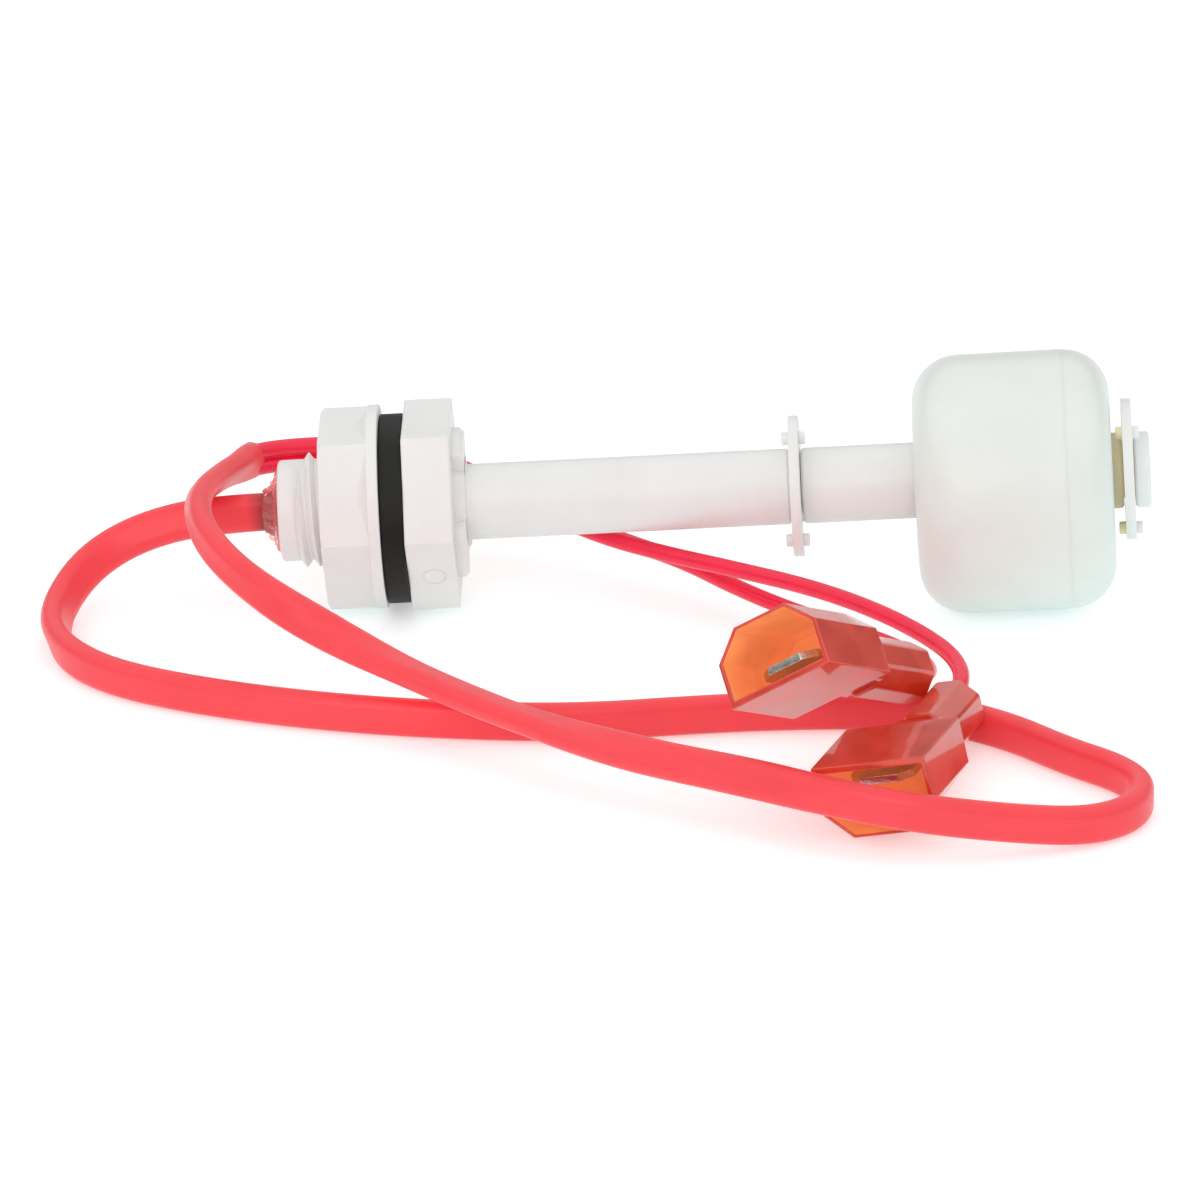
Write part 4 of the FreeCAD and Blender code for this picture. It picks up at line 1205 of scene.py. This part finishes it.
class FLOATSWITCH_OT_terminals(bpy.types.Operator):
    """Model the two insulated tab terminals"""

    bl_idname = "floatswitch.terminals"
    bl_label = "Terminals"

    def execute(self, context):
        sizes = context.scene.switch_sizes
        colours = context.scene.switch_colours
        # Both nylons carry a painted glow; the inside one is a lit copy of the same nylon, painted light
        # standing for light through the walls.
        outside = moulded_nylon("red_nylon", colours.nylon, 0.2)
        inside = moulded_nylon("backlit_nylon", colours.nylon_lit, 0.27)
        tin = tin_plate("tin_plate", colours.tin, 0.26)
        for letter, spot in TERMINALS.items():
            placement = terminal_placement(sizes, spot)
            housing = place(self.housing(sizes, outside, inside), placement)
            fit_out(housing, "tab_housing_" + letter, "switch", ["housing_" + letter], None)
            blade = place(self.blade(sizes), placement)
            fit_out(blade, "tab_blade_" + letter, "switch", ["tab_" + letter], tin)
        return {"FINISHED"}

    def house_section(self, sizes):
        half = sizes.housing_width / 2
        top = sizes.housing_top / 2
        side = sizes.housing_side
        height = sizes.housing_height
        return [(-half, 0), (half, 0), (half, side), (top, height), (-top, height), (-half, side)]

    def chamfered(self, width, height, corner, level):
        """A (y, z) rectangle with its corners cut off."""
        side = width / 2
        low = level - height / 2
        high = level + height / 2
        right = [(side - corner, low), (side, low + corner), (side, high - corner), (side - corner, high)]
        return right + [(-y, z) for y, z in reversed(right)]

    def housing(self, sizes, outside, inside):
        level = sizes.housing_height / 2
        neck_end = sizes.housing_length + sizes.neck_length
        rim = neck_end + sizes.barrel_length
        box = prism("box", self.house_section(sizes), 0, sizes.housing_length)
        rim_wall = 0.45 * MM
        mouth_rise = 0.2 * MM
        taper = 1.5 * MM
        select_faces(box, lambda middle, normal: normal.x < -0.9)
        bpy.ops.mesh.inset(thickness=rim_wall, use_even_offset=True)
        bpy.ops.transform.translate(value=(0, 0, mouth_rise))
        bpy.ops.mesh.extrude_region_move(TRANSFORM_OT_translate={"value": (taper, 0, 0)})
        bpy.ops.transform.resize(value=(1, 0.925, 0.88), center_override=(taper, 0, level))
        depth = sizes.housing_length - sizes.housing_wall - taper
        bpy.ops.mesh.extrude_region_move(TRANSFORM_OT_translate={"value": (depth, 0, 0)})
        bpy.ops.object.mode_set(mode="OBJECT")
        ease_edges(box, 0.13 * MM)
        neck = prism("neck", self.chamfered(sizes.neck_width, sizes.neck_height, sizes.neck_corner, level),
                     sizes.housing_length - 0.3 * MM, neck_end + 0.3 * MM)
        ease_edges(neck, 0.12 * MM)
        flats = sizes.barrel_flats
        cut = flats / 2 * (1 - math.tan(math.radians(22.5)))
        barrel = prism("barrel", self.chamfered(flats, flats, cut, level), neck_end, rim)
        select_faces(barrel, lambda middle, normal: normal.x > 0.9)
        bpy.ops.mesh.inset(thickness=(flats - sizes.barrel_bore_dia) / 2, use_even_offset=True)
        bpy.ops.mesh.extrude_region_move(TRANSFORM_OT_translate={"value": (-sizes.barrel_bore_depth, 0, 0)})
        bpy.ops.object.mode_set(mode="OBJECT")
        ease_edges(barrel, 0.3 * MM, 4)
        housing = join(box, [neck, barrel])
        housing.data.materials.append(outside)
        housing.data.materials.append(inside)
        # The pocket's inner faces take the lit copy of the nylon: painted light.
        half = sizes.housing_width / 2 - sizes.housing_wall * 0.6
        for face in housing.data.polygons:
            middle = face.center
            within = middle.x < sizes.housing_length - sizes.housing_wall * 0.5 and abs(middle.y) < half
            toward = Vector((0, -middle.y, level - middle.z))
            if within and middle.x > 0.2 * MM and (face.normal.dot(toward) > 0 or face.normal.x < -0.5):
                face.material_index = 1
        return housing

    def blade(self, sizes):
        """Flat tab with a chamfered tip and a detent hole."""
        half = sizes.tab_width / 2
        tip = sizes.tab_recess
        chamfer = sizes.tab_chamfer
        shoulder = sizes.housing_length - sizes.housing_wall
        low = sizes.tab_level - sizes.tab_thickness / 2
        corners = [(tip, chamfer - half), (tip + chamfer, -half), (shoulder, -half), (shoulder, half),
                   (tip + chamfer, half), (tip, half - chamfer)]
        blade = fill("blade", [Vector((x, y, low)) for x, y in corners])
        bpy.ops.mesh.extrude_region_move(TRANSFORM_OT_translate={"value": (0, 0, sizes.tab_thickness)})
        tidy_mesh()
        deselect()
        bpy.ops.mesh.primitive_cylinder_add(vertices=32, radius=sizes.tab_hole_dia / 2, depth=4 * MM,
                                            location=(tip + sizes.tab_hole_inset, 0, sizes.tab_level))
        combine(blade, bpy.context.object, "DIFFERENCE")
        return ease_edges(blade, 0.1 * MM, 2)


# Sealed inner pieces


class FLOATSWITCH_OT_inner_pieces(bpy.types.Operator):
    """Give the reed switch, wires, resin and magnet their finishes"""

    bl_idname = "floatswitch.inner_pieces"
    bl_label = "Inner Pieces"

    def execute(self, context):
        glass = plain_inner("reed_glass", "#D5E8DC", 0.08, transmission=0.9)
        nickel = plain_inner("nickel_iron", "#B9B4A8", 0.3, metallic=1.0)
        copper = plain_inner("tinned_copper", "#BDB6AA", 0.35, metallic=1.0)
        resin = plain_inner("cast_epoxy", "#262626", 0.3)
        ferrite = plain_inner("sintered_ferrite", "#3A3A3C", 0.6)
        wire = wire_insulation(context.scene.switch_colours.lead)
        for finish, nodes in ((glass, ["reed_capsule"]), (nickel, ["reed_blade_a", "reed_blade_b"]),
                              (copper, ["splice_sleeve", "splice_bridge"]), (resin, ["potting_plug"]),
                              (ferrite, ["float_magnet"]), (wire, ["inner_wire_a", "inner_wire_b"])):
            for node in nodes:
                mesh = frame["nodes"][node].data
                mesh.materials.clear()
                mesh.materials.append(finish)
        return {"FINISHED"}


class FLOATSWITCH_PT_panel(bpy.types.Panel):
    """Lists the switch's pieces"""

    bl_idname = "FLOATSWITCH_PT_panel"
    bl_label = "Float Level Switch"
    bl_space_type = "VIEW_3D"
    bl_region_type = "UI"
    bl_category = "Float Switch"

    def draw(self, context):
        for operator in PIECES:
            self.layout.operator(operator.bl_idname)
        self.layout.prop(context.scene.switch_colours, "sleeve")
        self.layout.prop(context.scene.switch_colours, "nylon")


PIECES = (FLOATSWITCH_OT_studio, FLOATSWITCH_OT_cord, FLOATSWITCH_OT_stem, FLOATSWITCH_OT_nut_and_gasket,
          FLOATSWITCH_OT_clips, FLOATSWITCH_OT_float, FLOATSWITCH_OT_glue, FLOATSWITCH_OT_terminals,
          FLOATSWITCH_OT_inner_pieces)
CLASSES = (SwitchSizes, SwitchColours, StudioSettings, *PIECES, FLOATSWITCH_PT_panel)


def register():
    for item in CLASSES:
        bpy.utils.register_class(item)
    bpy.types.Scene.switch_sizes = bpy.props.PointerProperty(type=SwitchSizes)
    bpy.types.Scene.switch_colours = bpy.props.PointerProperty(type=SwitchColours)
    bpy.types.Scene.switch_studio = bpy.props.PointerProperty(type=StudioSettings)


def unregister():
    del bpy.types.Scene.switch_studio
    del bpy.types.Scene.switch_colours
    del bpy.types.Scene.switch_sizes
    for item in reversed(CLASSES):
        bpy.utils.unregister_class(item)


def main():
    register()
    bpy.ops.floatswitch.studio()
    bpy.ops.floatswitch.terminals()
    bpy.ops.floatswitch.cord()
    bpy.ops.floatswitch.stem()
    bpy.ops.floatswitch.nut_and_gasket()
    bpy.ops.floatswitch.clips()
    bpy.ops.floatswitch.float()
    bpy.ops.floatswitch.glue()
    bpy.ops.floatswitch.inner_pieces()


if __name__ == "__main__":
    main()
